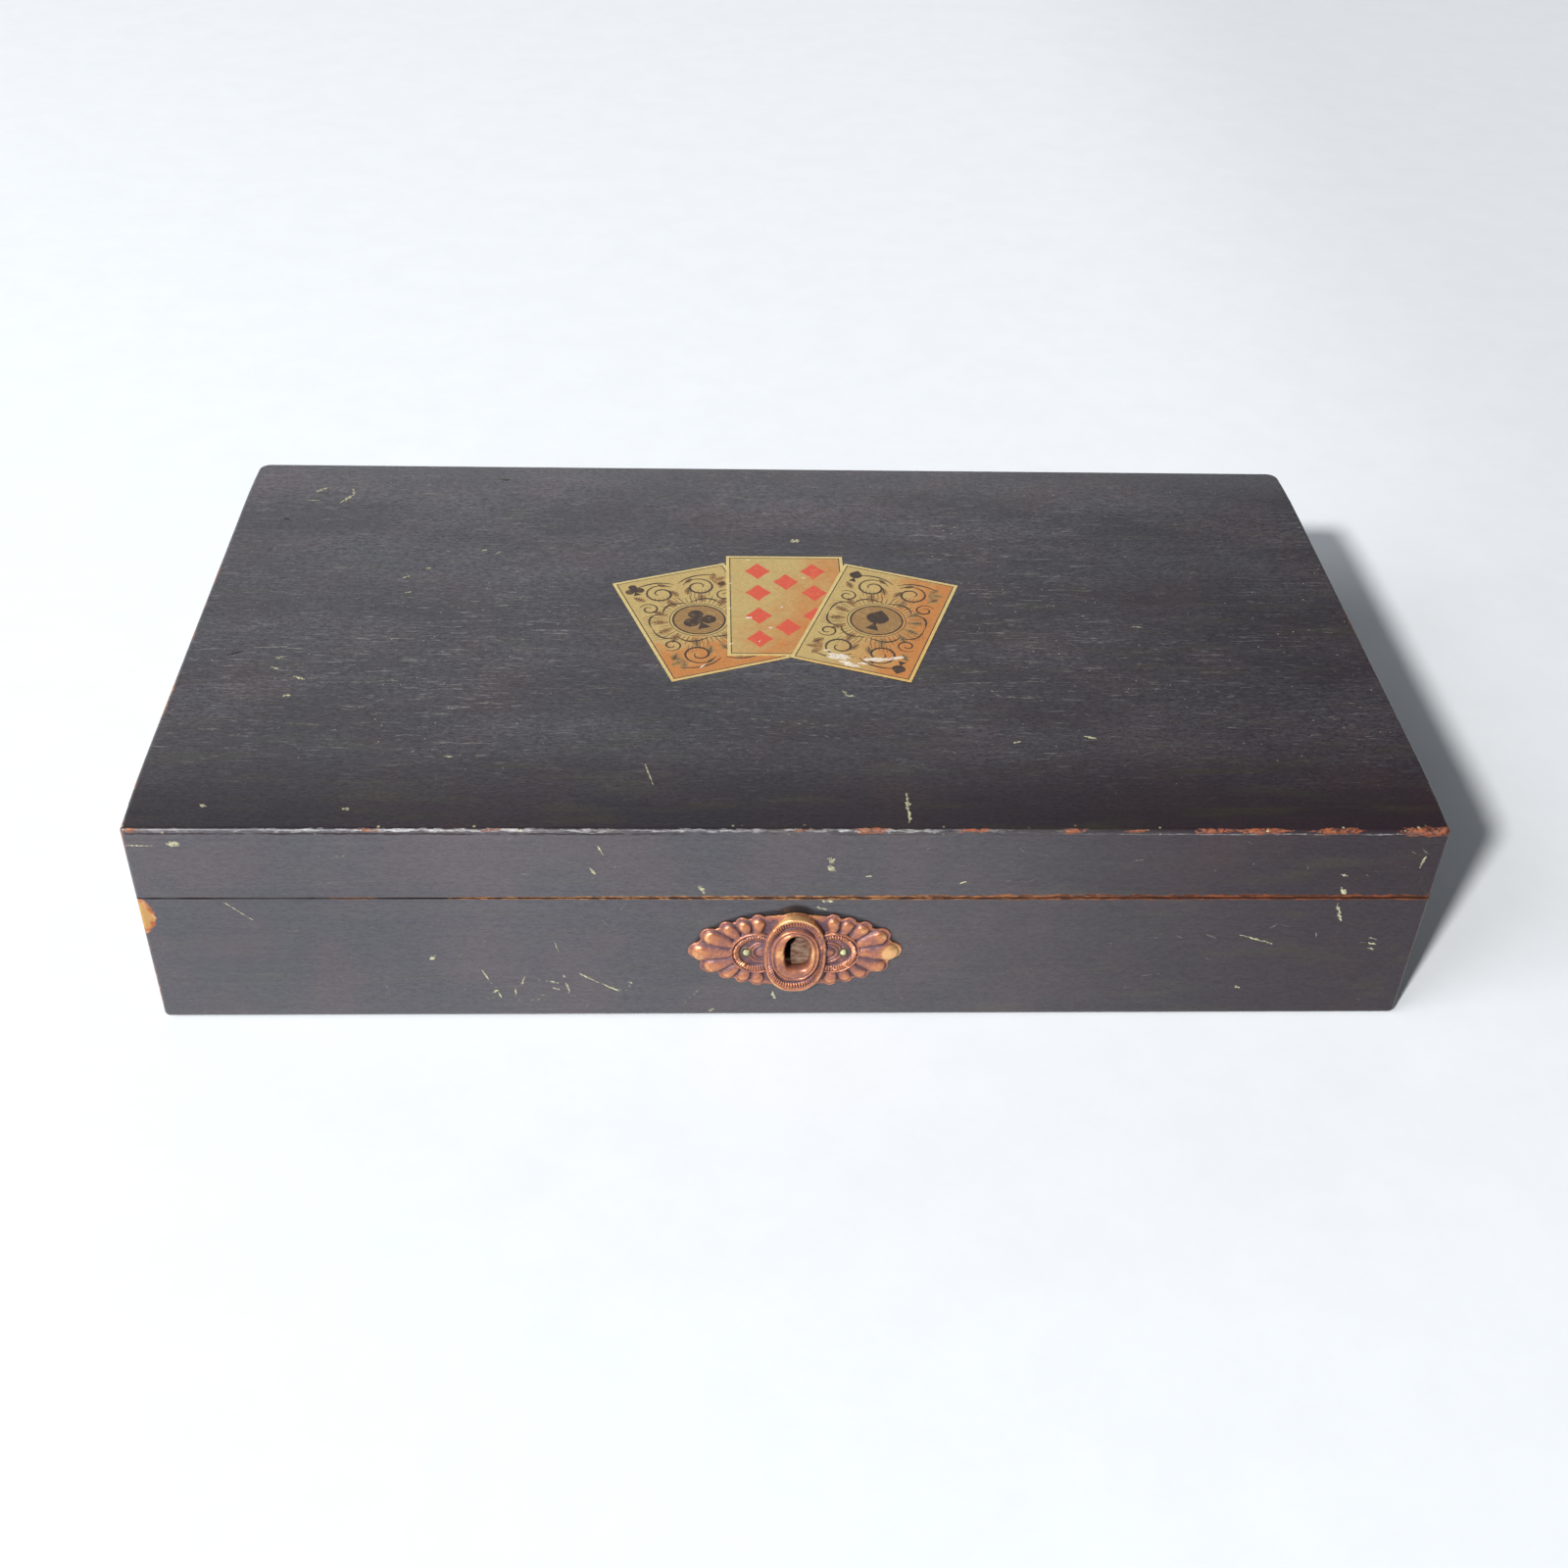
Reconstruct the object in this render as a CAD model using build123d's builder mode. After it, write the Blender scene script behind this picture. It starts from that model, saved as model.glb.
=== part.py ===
"""A low wooden card game box: a case with wells for cards and tokens under a hinged lid.

The front faces -Y, up is +Z, and the origin is the middle of the underside. All sizes are in millimetres.
"""
from build123d import *
import os
from math import cos, pi, radians, sin, sqrt, tan

# Case and lid
box_length = 290.0
box_depth = 162.0
base_height = 37.0
seam_gap = 0.5
lid_rail_height = 15.2
lid_board_edge = 4.3
lid_crown = 1.2
lid_shoulder_width = 24.0
wall = 8.0
bottom_board = 2.7
corner_lap = 3.8
front_corner_radius = 0.9
back_corner_radius = 3.2
arris_radius = 1.0
foot_radius = 1.7
foot_edge = 0.6

# Dividers and the wells between them
divider_thickness = 4.0
divider_height = 26.0
divider_round = 1.2
housing_depth = 1.5
card_well_width = 66.0
card_well_depth = 92.0
finger_scoop_radius = 11.0

# Butt hinges
hinge_inset = 50.0
hinge_length = 38.0
hinge_setback = 1.4
hinge_barrel_radius = 1.9
hinge_pin_radius = 1.0
hinge_pin_clearance = 0.05
hinge_leaf_thickness = 0.9
hinge_leaf_margin = 0.5
hinge_knuckles = 3
hinge_knuckle_gap = 0.2
hinge_knuckle_relief = 0.25
hinge_barrel_relief = 0.35
hinge_screw_spacing = 13.0
lid_open_angle = 100.0
lid_stop_margin = 2.0

# Countersunk screws
screw_sides = 8
screw_head_radius = 1.3
screw_shank_radius = 0.65
screw_head_rim = 0.1
screw_tip_chamfer = 0.4
screw_slot_width = 0.4
screw_slot_depth = 0.35
hinge_screw_length = 7.0
lock_screw_length = 4.6
strike_screw_length = 6.0

# Box lock, measured from the middle of the round part of the keyhole
keyhole_offset = -1.2
keyhole_drop = 12.0
keyhole_radius = 2.2
keyhole_slot_width = 2.4
keyhole_length = 6.3
lock_ear_width = 4.0
lock_plate_thickness = 1.0
lock_case_width = 30.0
lock_case_wall = 1.0
lock_cavity_depth = 3.6
lock_cover_thickness = 0.8
lock_selvedge_thickness = 1.2
lock_below_keyhole = 11.0
lock_screw_rise = 4.0
lock_screw_drop = 8.0
lock_clearance = 0.3
key_pin_radius = 0.9
key_pin_chamfer = 0.3
bolt_bar_height = 2.2
bolt_bar_above_keyhole = 0.4
bolt_travel = 3.6
bolt_notch_radius = 1.2
bolt_post_width = 1.6
bolt_finger_thickness = 0.9
bolt_finger_height = 2.0
guide_ledge_height = 1.4
guide_ledge_length = 5.0
spring_thickness = 0.4
spring_width = 2.4
spring_foot_height = 3.0
spring_reach = 5.4

# Strike on the lid, with two eyes that the bolt's fingers enter
strike_inset = 2.0
strike_thickness = 1.0
eye_thickness = 2.0
eye_depth = 2.8
eye_wall = 0.65
eye_foot = 1.1
eye_swing_clearance = 0.4

# Stamped escutcheon, measured from its own middle
escutcheon_offset = 1.0
escutcheon_drop = 15.5
escutcheon_plate_thickness = 0.7
escutcheon_plate_half_width = 22.3
escutcheon_plate_half_height = 10.4
boss_half_width = 7.4
boss_half_height = 11.5
boss_height = 2.3
boss_bevel = 0.7
boss_rim_width = 1.3
boss_groove_depth = 0.6
boss_hollow_depth = 1.2
boss_hollow_wall = 0.9
keyhole_ring_half_width = 5.3
keyhole_ring_half_height = 7.75
keyhole_ring_height = 2.9
keyhole_ring_bevel = 0.6
opening_shift = 0.5
opening_top_radius = 3.05
opening_top_rise = 3.0
opening_foot_radius = 0.9
opening_foot_spread = 1.7
opening_foot_drop = 3.2
medallion_offset = 8.8
medallion_radius = 6.4
medallion_height = 1.5
medallion_rim_width = 1.0
medallion_dish_depth = 0.5
medallion_centre_radius = 2.2
medallion_centre_height = 1.4
lobe_ring_half_width = 22.0
lobe_ring_half_height = 10.1
lobe_pairs = 4
lobe_step = 23.0
lobe_end_radius = 1.65
lobe_tip_growth = 0.85
lobe_growth_sharpness = 6
lobe_root_sink = 0.5
lobe_root_radius = 0.3
lobe_facets = 4
lobe_end_bends = (0, 50)
escutcheon_pin_offset = 11.1
escutcheon_pin_radius = 0.5
escutcheon_pin_cover = 0.4
pin_sides = 8
pin_head_radius = 1.1
pin_head_height = 0.6
pin_head_chamfer = 0.4

# Printed fan of three cards on the lid
print_thickness = 0.1
print_card_width = 30.6
print_card_length = 46.5
print_offset = 0.6
print_rise = 8.4
print_fan_angle = 20.0
print_fan_spread = 22.3
print_fan_drop = 7.3

# Places worked out from the sizes above
half_length = box_length / 2
half_depth = box_depth / 2
inner_half_length = half_length - wall
inner_half_depth = half_depth - wall
lid_bottom = base_height + seam_gap
lid_board_bottom = lid_bottom + lid_rail_height
lid_edge_top = lid_board_bottom + lid_board_edge
lid_top = lid_edge_top + lid_crown
front_length = box_length - 2 * corner_lap
base_wall_height = base_height - bottom_board

divider_top = bottom_board + divider_height
long_divider_y = inner_half_depth - card_well_depth - divider_thickness / 2
cross_divider_x = card_well_width + divider_thickness
scoop_x = (card_well_width + divider_thickness) / 2

hinge_y = half_depth - hinge_setback
hinge_z = base_height + seam_gap / 2
hinge_leaf_width = wall - hinge_setback - hinge_leaf_margin
hinge_screw_y = hinge_y - (hinge_barrel_radius + hinge_leaf_width) / 2
knuckle_pitch = hinge_length / hinge_knuckles
knuckle_length = knuckle_pitch - hinge_knuckle_gap
knuckle_offsets = [(n - (hinge_knuckles - 1) / 2) * knuckle_pitch for n in range(hinge_knuckles)]
base_knuckles = knuckle_offsets[0::2]
lid_knuckles = knuckle_offsets[1::2]
hinge_screw_offsets = [-hinge_screw_spacing, 0, hinge_screw_spacing]
hinge_places = {"left": hinge_inset - half_length, "right": half_length - hinge_inset}

keyhole_z = base_height - keyhole_drop
lock_depth = lock_plate_thickness + lock_cavity_depth + lock_cover_thickness
lock_front = lock_plate_thickness + lock_cavity_depth
lock_top = keyhole_drop - lock_selvedge_thickness
lock_height = lock_below_keyhole + lock_top
lock_middle = (lock_top - lock_below_keyhole) / 2
lock_cavity_half_width = lock_case_width / 2 - lock_case_wall
lock_cavity_middle = lock_plate_thickness + lock_cavity_depth / 2
lock_plate_width = lock_case_width + 2 * lock_ear_width
lock_ear_x = (lock_case_width + lock_ear_width) / 2
bolt_bottom = keyhole_radius + bolt_bar_above_keyhole
bolt_bar_top = bolt_bottom + bolt_bar_height
bolt_thickness = lock_cavity_depth - 2 * lock_clearance
eye_bottom = bolt_bar_top + lock_clearance
finger_bottom = eye_bottom + eye_foot + lock_clearance
eye_window_height = bolt_finger_height + 2 * lock_clearance
bolt_finger_length = bolt_travel + lock_clearance
finger_tip = eye_thickness / 2 + lock_clearance
finger_root = finger_tip + bolt_finger_length
eye_offset = lock_cavity_half_width - lock_clearance - bolt_post_width - finger_root
strike_width = lock_plate_width - 2 * strike_inset
strike_screw_offset = (strike_width + 2 * eye_offset + eye_thickness) / 4
escutcheon_z = base_height - escutcheon_drop

# Planes: the lock's own plane faces the front from the inner face of the wall, and the outer face's plane
# carries the escutcheon. On both, local Y is up and local Z points out of the front.
lock_plane = Plane(
    origin=(keyhole_offset, -inner_half_depth, keyhole_z), x_dir=(1, 0, 0), z_dir=(0, -1, 0)
)
escutcheon_plane = Plane(
    origin=(escutcheon_offset, -half_depth, escutcheon_z), x_dir=(1, 0, 0), z_dir=(0, -1, 0)
)


def make_screw(length, slotted=True):
    """A countersunk screw that points down, with the face of its head at the origin."""
    head_slope = screw_head_radius - screw_shank_radius
    with BuildPart() as screw:
        with BuildSketch():
            RegularPolygon(screw_head_radius, screw_sides)
        extrude(amount=-head_slope - screw_head_rim)
        chamfer(screw.faces().sort_by(Axis.Z)[0].edges(), length=head_slope)
        with BuildSketch():
            RegularPolygon(screw_shank_radius, screw_sides)
        extrude(amount=-length)
        chamfer(screw.faces().sort_by(Axis.Z)[0].edges(), length=screw_tip_chamfer)
        if slotted:
            Box(2 * screw_head_radius, screw_slot_width, 2 * screw_slot_depth, mode=Mode.SUBTRACT)
    return screw.part


# Where the screws go: straight down in the base, straight up in the lid, forward in the lock plate
base_screw_places = [
    Location((hinge_x + offset, hinge_screw_y, base_height))
    for hinge_x in hinge_places.values()
    for offset in hinge_screw_offsets
]
lid_screw_places = [
    Location((hinge_x + offset, hinge_screw_y, lid_bottom), (180, 0, 0))
    for hinge_x in hinge_places.values()
    for offset in hinge_screw_offsets
]
lock_screw_places = [
    Location((keyhole_offset + side * lock_ear_x, -inner_half_depth, keyhole_z + rise), (-90, 0, 0))
    for side in (-1, 1)
    for rise in (-lock_screw_drop, lock_screw_rise)
]
strike_screw_y = -inner_half_depth - lock_depth / 2
strike_screw_places = [
    Location((keyhole_offset + side * strike_screw_offset, strike_screw_y, lid_bottom), (180, 0, 0))
    for side in (-1, 1)
]
escutcheon_pin_spots = [(-escutcheon_pin_offset, 0), (escutcheon_pin_offset, 0)]
escutcheon_pin_depth = wall - lock_depth - escutcheon_pin_cover

# Cutters that several pieces share: the vee along the back that lets the lid lean back, and the clearance
# round each hinge barrel
vee_angle = radians((lid_open_angle + lid_stop_margin) / 2)
vee_reach = hinge_setback + wall
with BuildPart() as back_vee:
    with BuildSketch(Plane.YZ):
        with BuildLine():
            Polyline(
                (hinge_y, hinge_z),
                (hinge_y + vee_reach, hinge_z - vee_reach * tan(vee_angle)),
                (hinge_y + vee_reach, hinge_z + vee_reach * tan(vee_angle)),
                close=True,
            )
        make_face()
    extrude(amount=box_length, both=True)

with BuildPart() as barrel_room:
    with Locations(*[(x, hinge_y, hinge_z) for x in hinge_places.values()]):
        Cylinder(
            hinge_barrel_radius + hinge_barrel_relief,
            hinge_length + 2 * hinge_barrel_relief,
            rotation=(0, 90, 0),
        )

with BuildPart() as keyhole:
    with BuildSketch(lock_plane):
        Circle(keyhole_radius)
        with Locations((0, -keyhole_length / 2)):
            Rectangle(keyhole_slot_width, keyhole_length)
    extrude(amount=wall)

# Base
with BuildPart() as base_bottom_board:
    with BuildSketch() as plan:
        Rectangle(box_length, box_depth)
        fillet(plan.vertices().group_by(Axis.Y)[0], radius=front_corner_radius)
        fillet(plan.vertices().group_by(Axis.Y)[-1], radius=back_corner_radius)
    extrude(amount=bottom_board)
    foot_edges = base_bottom_board.faces().sort_by(Axis.Z)[0].edges()
    fillet(foot_edges, radius=min(foot_radius, bottom_board - foot_edge))
base_bottom_board.part.label = "base_bottom_board"


def make_end_board(bottom, height):
    """The left end of the base or lid, rebated at both ends so that a lip laps over the long boards."""
    with BuildPart() as board:
        with BuildSketch(Plane.XY.offset(bottom)) as plan:
            with Locations((-half_length, 0)):
                Rectangle(wall, box_depth - 2 * wall, align=(Align.MIN, Align.CENTER))
                Rectangle(corner_lap, box_depth, align=(Align.MIN, Align.CENTER))
            outer = plan.vertices().group_by(Axis.X)[0]
            fillet(outer.sort_by(Axis.Y)[0], radius=front_corner_radius)
            outer = plan.vertices().group_by(Axis.X)[0]
            fillet(outer.sort_by(Axis.Y)[-1], radius=back_corner_radius)
        extrude(amount=height)
        add(back_vee.part, mode=Mode.SUBTRACT)
    return board.part


with BuildPart() as base_left_end:
    add(make_end_board(bottom_board, base_wall_height))
    with Locations((-inner_half_length, long_divider_y, bottom_board)):
        Box(
            2 * housing_depth,
            divider_thickness,
            divider_height,
            align=(Align.CENTER, Align.CENTER, Align.MIN),
            mode=Mode.SUBTRACT,
        )
base_left_end.part.label = "base_left_end"

with BuildPart() as base_right_end:
    mirror(base_left_end.part, about=Plane.YZ)
base_right_end.part.label = "base_right_end"


def make_long_board(bottom, height, y_middle):
    """A front or back board of the base or lid, between the lips of the end boards."""
    with BuildPart() as board:
        with Locations((0, y_middle, bottom)):
            Box(front_length, wall, height, align=(Align.CENTER, Align.CENTER, Align.MIN))
    return board.part


with BuildPart() as base_front_board:
    add(make_long_board(bottom_board, base_wall_height, -half_depth + wall / 2))
    with Locations(*[(x, -inner_half_depth, bottom_board) for x in (-cross_divider_x, cross_divider_x)]):
        Box(
            divider_thickness,
            2 * housing_depth,
            divider_height,
            align=(Align.CENTER, Align.CENTER, Align.MIN),
            mode=Mode.SUBTRACT,
        )
    # Mortise for the lock case, and the shallow beds of its plate and selvedge
    with BuildSketch(lock_plane):
        with Locations((0, lock_middle)):
            Rectangle(lock_case_width, lock_height)
    extrude(amount=lock_depth, mode=Mode.SUBTRACT)
    with BuildSketch(lock_plane):
        with Locations((0, -lock_below_keyhole)):
            Rectangle(lock_plate_width, lock_below_keyhole + keyhole_drop, align=(Align.CENTER, Align.MIN))
    extrude(amount=lock_plate_thickness, mode=Mode.SUBTRACT)
    with BuildSketch(lock_plane):
        with Locations((0, keyhole_drop)):
            Rectangle(lock_plate_width, lock_selvedge_thickness, align=(Align.CENTER, Align.MAX))
    extrude(amount=lock_depth, mode=Mode.SUBTRACT)
    add(keyhole.part, mode=Mode.SUBTRACT)
    with Locations(*lock_screw_places):
        add(make_screw(lock_screw_length, slotted=False), mode=Mode.SUBTRACT)
    with BuildSketch(escutcheon_plane):
        with Locations(*escutcheon_pin_spots):
            RegularPolygon(escutcheon_pin_radius, pin_sides)
    extrude(amount=-escutcheon_pin_depth, mode=Mode.SUBTRACT)
base_front_board.part.label = "base_front_board"

with BuildPart() as base_back_board:
    add(make_long_board(bottom_board, base_wall_height, half_depth - wall / 2))
    with Locations(*[(x, inner_half_depth, bottom_board) for x in (-cross_divider_x, 0, cross_divider_x)]):
        Box(
            divider_thickness,
            2 * housing_depth,
            divider_height,
            align=(Align.CENTER, Align.CENTER, Align.MIN),
            mode=Mode.SUBTRACT,
        )
    with Locations(*[(x, hinge_y - hinge_leaf_width, base_height) for x in hinge_places.values()]):
        Box(
            hinge_length,
            wall,
            hinge_leaf_thickness,
            align=(Align.CENTER, Align.MIN, Align.MAX),
            mode=Mode.SUBTRACT,
        )
    add(back_vee.part, mode=Mode.SUBTRACT)
    add(barrel_room.part, mode=Mode.SUBTRACT)
    with Locations(*base_screw_places):
        add(make_screw(hinge_screw_length, slotted=False), mode=Mode.SUBTRACT)
base_back_board.part.label = "base_back_board"

# Dividers: one long board, crossed by two full ones and met by a short one between the card wells
with BuildPart() as divider_long:
    with BuildSketch(Plane.YZ) as section:
        with Locations((long_divider_y, bottom_board)):
            Rectangle(divider_thickness, divider_height, align=(Align.CENTER, Align.MIN))
        fillet(section.vertices().group_by(Axis.Y)[-1], radius=divider_round)
    extrude(amount=inner_half_length + housing_depth, both=True)
    with Locations(*[(x, long_divider_y, divider_top) for x in (-cross_divider_x, cross_divider_x)]):
        Box(divider_thickness, 2 * divider_thickness, divider_height, mode=Mode.SUBTRACT)
    with Locations((0, long_divider_y + divider_thickness / 2, bottom_board)):
        Box(
            divider_thickness,
            2 * housing_depth,
            divider_height,
            align=(Align.CENTER, Align.CENTER, Align.MIN),
            mode=Mode.SUBTRACT,
        )
    with Locations(*[(x, long_divider_y, divider_top) for x in (-scoop_x, scoop_x)]):
        Cylinder(finger_scoop_radius, 2 * divider_thickness, rotation=(90, 0, 0), mode=Mode.SUBTRACT)
divider_long.part.label = "divider_long"


def make_cross_divider(x_middle, front_end, back_end):
    """A divider that runs from front to back, with a rounded top edge."""
    with BuildPart() as divider:
        with BuildSketch(Plane.XZ.offset(-front_end)) as section:
            with Locations((x_middle, bottom_board)):
                Rectangle(divider_thickness, divider_height, align=(Align.CENTER, Align.MIN))
            fillet(section.vertices().group_by(Axis.Y)[-1], radius=divider_round)
        extrude(amount=front_end - back_end)
    return divider.part


housed_end = inner_half_depth + housing_depth
with BuildPart() as divider_left:
    add(make_cross_divider(-cross_divider_x, -housed_end, housed_end))
    with Locations((-cross_divider_x, long_divider_y, bottom_board)):
        Box(2 * divider_thickness, divider_thickness, divider_height, mode=Mode.SUBTRACT)
divider_left.part.label = "divider_left"

with BuildPart() as divider_right:
    mirror(divider_left.part, about=Plane.YZ)
divider_right.part.label = "divider_right"

with BuildPart() as divider_middle:
    add(make_cross_divider(0, long_divider_y + divider_thickness / 2 - housing_depth, housed_end))
divider_middle.part.label = "divider_middle"

# Lid
flat_half = half_depth - lid_shoulder_width
with BuildPart() as lid_top_board:
    with BuildSketch(Plane.YZ):
        with BuildLine():
            Polyline(
                (-half_depth, lid_edge_top),
                (-half_depth, lid_board_bottom),
                (half_depth, lid_board_bottom),
                (half_depth, lid_edge_top),
            )
            TangentArc((flat_half, lid_top), (half_depth, lid_edge_top), tangent=(1, 0))
            Line((flat_half, lid_top), (-flat_half, lid_top))
            TangentArc((-flat_half, lid_top), (-half_depth, lid_edge_top), tangent=(-1, 0))
        make_face()
    extrude(amount=half_length, both=True)
    fillet(lid_top_board.edges().filter_by(Axis.Z).group_by(Axis.Y)[0], radius=front_corner_radius)
    fillet(lid_top_board.edges().filter_by(Axis.Z).group_by(Axis.Y)[-1], radius=back_corner_radius)
    # Every edge of the top is rounded, apart from the seams between its flat and its shoulders
    flat_limit = flat_half + lid_crown
    lowest = lid_edge_top - lid_crown
    top_edges = lid_top_board.edges().filter_by_position(Axis.Z, lowest, lid_top + lid_crown)
    seams = top_edges.filter_by(Axis.X).filter_by_position(Axis.Y, -flat_limit, flat_limit)
    fillet([edge for edge in top_edges if edge not in seams], radius=arris_radius)
lid_top_board.part.label = "lid_top_board"

with BuildPart() as lid_left_rail:
    add(make_end_board(lid_bottom, lid_rail_height))
lid_left_rail.part.label = "lid_left_rail"

with BuildPart() as lid_right_rail:
    mirror(lid_left_rail.part, about=Plane.YZ)
lid_right_rail.part.label = "lid_right_rail"

with BuildPart() as lid_front_rail:
    add(make_long_board(lid_bottom, lid_rail_height, -half_depth + wall / 2))
    with Locations((keyhole_offset, -inner_half_depth, lid_bottom)):
        Box(
            strike_width,
            lock_depth,
            strike_thickness,
            align=(Align.CENTER, Align.MAX, Align.MIN),
            mode=Mode.SUBTRACT,
        )
    with Locations(*strike_screw_places):
        add(make_screw(strike_screw_length, slotted=False), mode=Mode.SUBTRACT)
lid_front_rail.part.label = "lid_front_rail"

with BuildPart() as lid_back_rail:
    add(make_long_board(lid_bottom, lid_rail_height, half_depth - wall / 2))
    with Locations(*[(x, hinge_y - hinge_leaf_width, lid_bottom) for x in hinge_places.values()]):
        Box(
            hinge_length,
            wall,
            hinge_leaf_thickness,
            align=(Align.CENTER, Align.MIN, Align.MIN),
            mode=Mode.SUBTRACT,
        )
    add(back_vee.part, mode=Mode.SUBTRACT)
    add(barrel_room.part, mode=Mode.SUBTRACT)
    with Locations(*lid_screw_places):
        add(make_screw(hinge_screw_length, slotted=False), mode=Mode.SUBTRACT)
lid_back_rail.part.label = "lid_back_rail"

with BuildPart() as card_transfer:
    with BuildSketch(Plane.XY.offset(lid_top)):
        with Locations((print_offset, print_rise)):
            Rectangle(print_card_width, print_card_length)
        with Locations(
            Location((print_offset - print_fan_spread, print_rise - print_fan_drop), print_fan_angle),
            Location((print_offset + print_fan_spread, print_rise - print_fan_drop), -print_fan_angle),
        ):
            Rectangle(print_card_width, print_card_length)
    extrude(amount=print_thickness)
card_transfer.part.label = "card_transfer"


# Hinges
def make_hinge_leaf(hinge_x, up, own_offsets, other_offsets, bore_radius, screw_places):
    """One leaf of a butt hinge; up is -1 for the leaf in the base and 1 for the leaf in the lid."""
    with BuildPart() as leaf:
        with Locations((hinge_x, hinge_y, hinge_z + up * (seam_gap + hinge_leaf_thickness) / 2)):
            Box(
                hinge_length,
                hinge_leaf_width,
                hinge_leaf_thickness,
                align=(Align.CENTER, Align.MAX, Align.CENTER),
            )
        with Locations(*[(hinge_x + offset, hinge_y, hinge_z) for offset in other_offsets]):
            Cylinder(
                hinge_barrel_radius + hinge_knuckle_relief,
                knuckle_length + 2 * hinge_knuckle_gap,
                rotation=(0, 90, 0),
                mode=Mode.SUBTRACT,
            )
        with Locations(*[(hinge_x + offset, hinge_y, hinge_z) for offset in own_offsets]):
            Cylinder(hinge_barrel_radius, knuckle_length, rotation=(0, 90, 0))
        with Locations((hinge_x, hinge_y, hinge_z)):
            Cylinder(bore_radius, 2 * hinge_length, rotation=(0, 90, 0), mode=Mode.SUBTRACT)
        with Locations(*screw_places):
            add(make_screw(hinge_screw_length, slotted=False), mode=Mode.SUBTRACT)
    return leaf.part


hinge_parts = []
lid_bore_radius = hinge_pin_radius + hinge_pin_clearance
for side, hinge_x in hinge_places.items():
    with BuildPart() as hinge_base_leaf:
        add(make_hinge_leaf(hinge_x, -1, base_knuckles, lid_knuckles, hinge_pin_radius, base_screw_places))
    hinge_base_leaf.part.label = f"hinge_{side}_base_leaf"
    with BuildPart() as hinge_lid_leaf:
        add(make_hinge_leaf(hinge_x, 1, lid_knuckles, base_knuckles, lid_bore_radius, lid_screw_places))
    hinge_lid_leaf.part.label = f"hinge_{side}_lid_leaf"
    with BuildPart() as hinge_pin:
        with Locations((hinge_x, hinge_y, hinge_z)):
            Cylinder(hinge_pin_radius, hinge_length, rotation=(0, 90, 0))
    hinge_pin.part.label = f"hinge_{side}_pin"
    hinge_parts += [hinge_base_leaf.part, hinge_lid_leaf.part, hinge_pin.part]

with BuildPart() as hinge_base_screws:
    with Locations(*base_screw_places):
        add(make_screw(hinge_screw_length))
hinge_base_screws.part.label = "hinge_base_screws"

with BuildPart() as hinge_lid_screws:
    with Locations(*lid_screw_places):
        add(make_screw(hinge_screw_length))
hinge_lid_screws.part.label = "hinge_lid_screws"

# Lock: plate, selvedge and case walls in one, a cover towards the front board, and the works between
with BuildPart() as lock_case:
    with BuildSketch(lock_plane):
        with Locations((0, -lock_below_keyhole)):
            Rectangle(lock_plate_width, lock_below_keyhole + keyhole_drop, align=(Align.CENTER, Align.MIN))
    extrude(amount=lock_plate_thickness)
    with BuildSketch(lock_plane):
        with Locations((0, keyhole_drop)):
            Rectangle(lock_plate_width, lock_selvedge_thickness, align=(Align.CENTER, Align.MAX))
    extrude(amount=lock_depth)
    with BuildSketch(lock_plane):
        with Locations((0, lock_middle)):
            Rectangle(lock_case_width, lock_height)
        with Locations((0, lock_top)):
            Rectangle(
                2 * lock_cavity_half_width,
                lock_height - lock_case_wall,
                align=(Align.CENTER, Align.MAX),
                mode=Mode.SUBTRACT,
            )
    extrude(amount=lock_front)
    # Ledges that the bolt slides on
    with BuildSketch(lock_plane):
        with Locations((-lock_cavity_half_width, bolt_bottom - lock_clearance)):
            Rectangle(guide_ledge_length, guide_ledge_height, align=(Align.MIN, Align.MAX))
        with Locations((lock_cavity_half_width, bolt_bottom - lock_clearance)):
            Rectangle(2 * guide_ledge_length, guide_ledge_height, align=(Align.MAX, Align.MAX))
    extrude(amount=lock_front)
    # Slots in the selvedge that the strike's eyes drop through
    with BuildSketch(lock_plane.offset(lock_plate_thickness)):
        with Locations((-eye_offset, keyhole_drop), (eye_offset, keyhole_drop)):
            Rectangle(
                eye_thickness + 2 * eye_swing_clearance,
                lock_selvedge_thickness,
                align=(Align.CENTER, Align.MAX),
            )
    extrude(amount=lock_cavity_depth, mode=Mode.SUBTRACT)
    with Locations(*lock_screw_places):
        add(make_screw(lock_screw_length, slotted=False), mode=Mode.SUBTRACT)
lock_case.part.label = "lock_case"

with BuildPart() as lock_cover:
    with BuildSketch(lock_plane.offset(lock_front)):
        with Locations((0, lock_middle)):
            Rectangle(lock_case_width, lock_height)
    extrude(amount=lock_cover_thickness)
    add(keyhole.part, mode=Mode.SUBTRACT)
lock_cover.part.label = "lock_cover"

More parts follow.
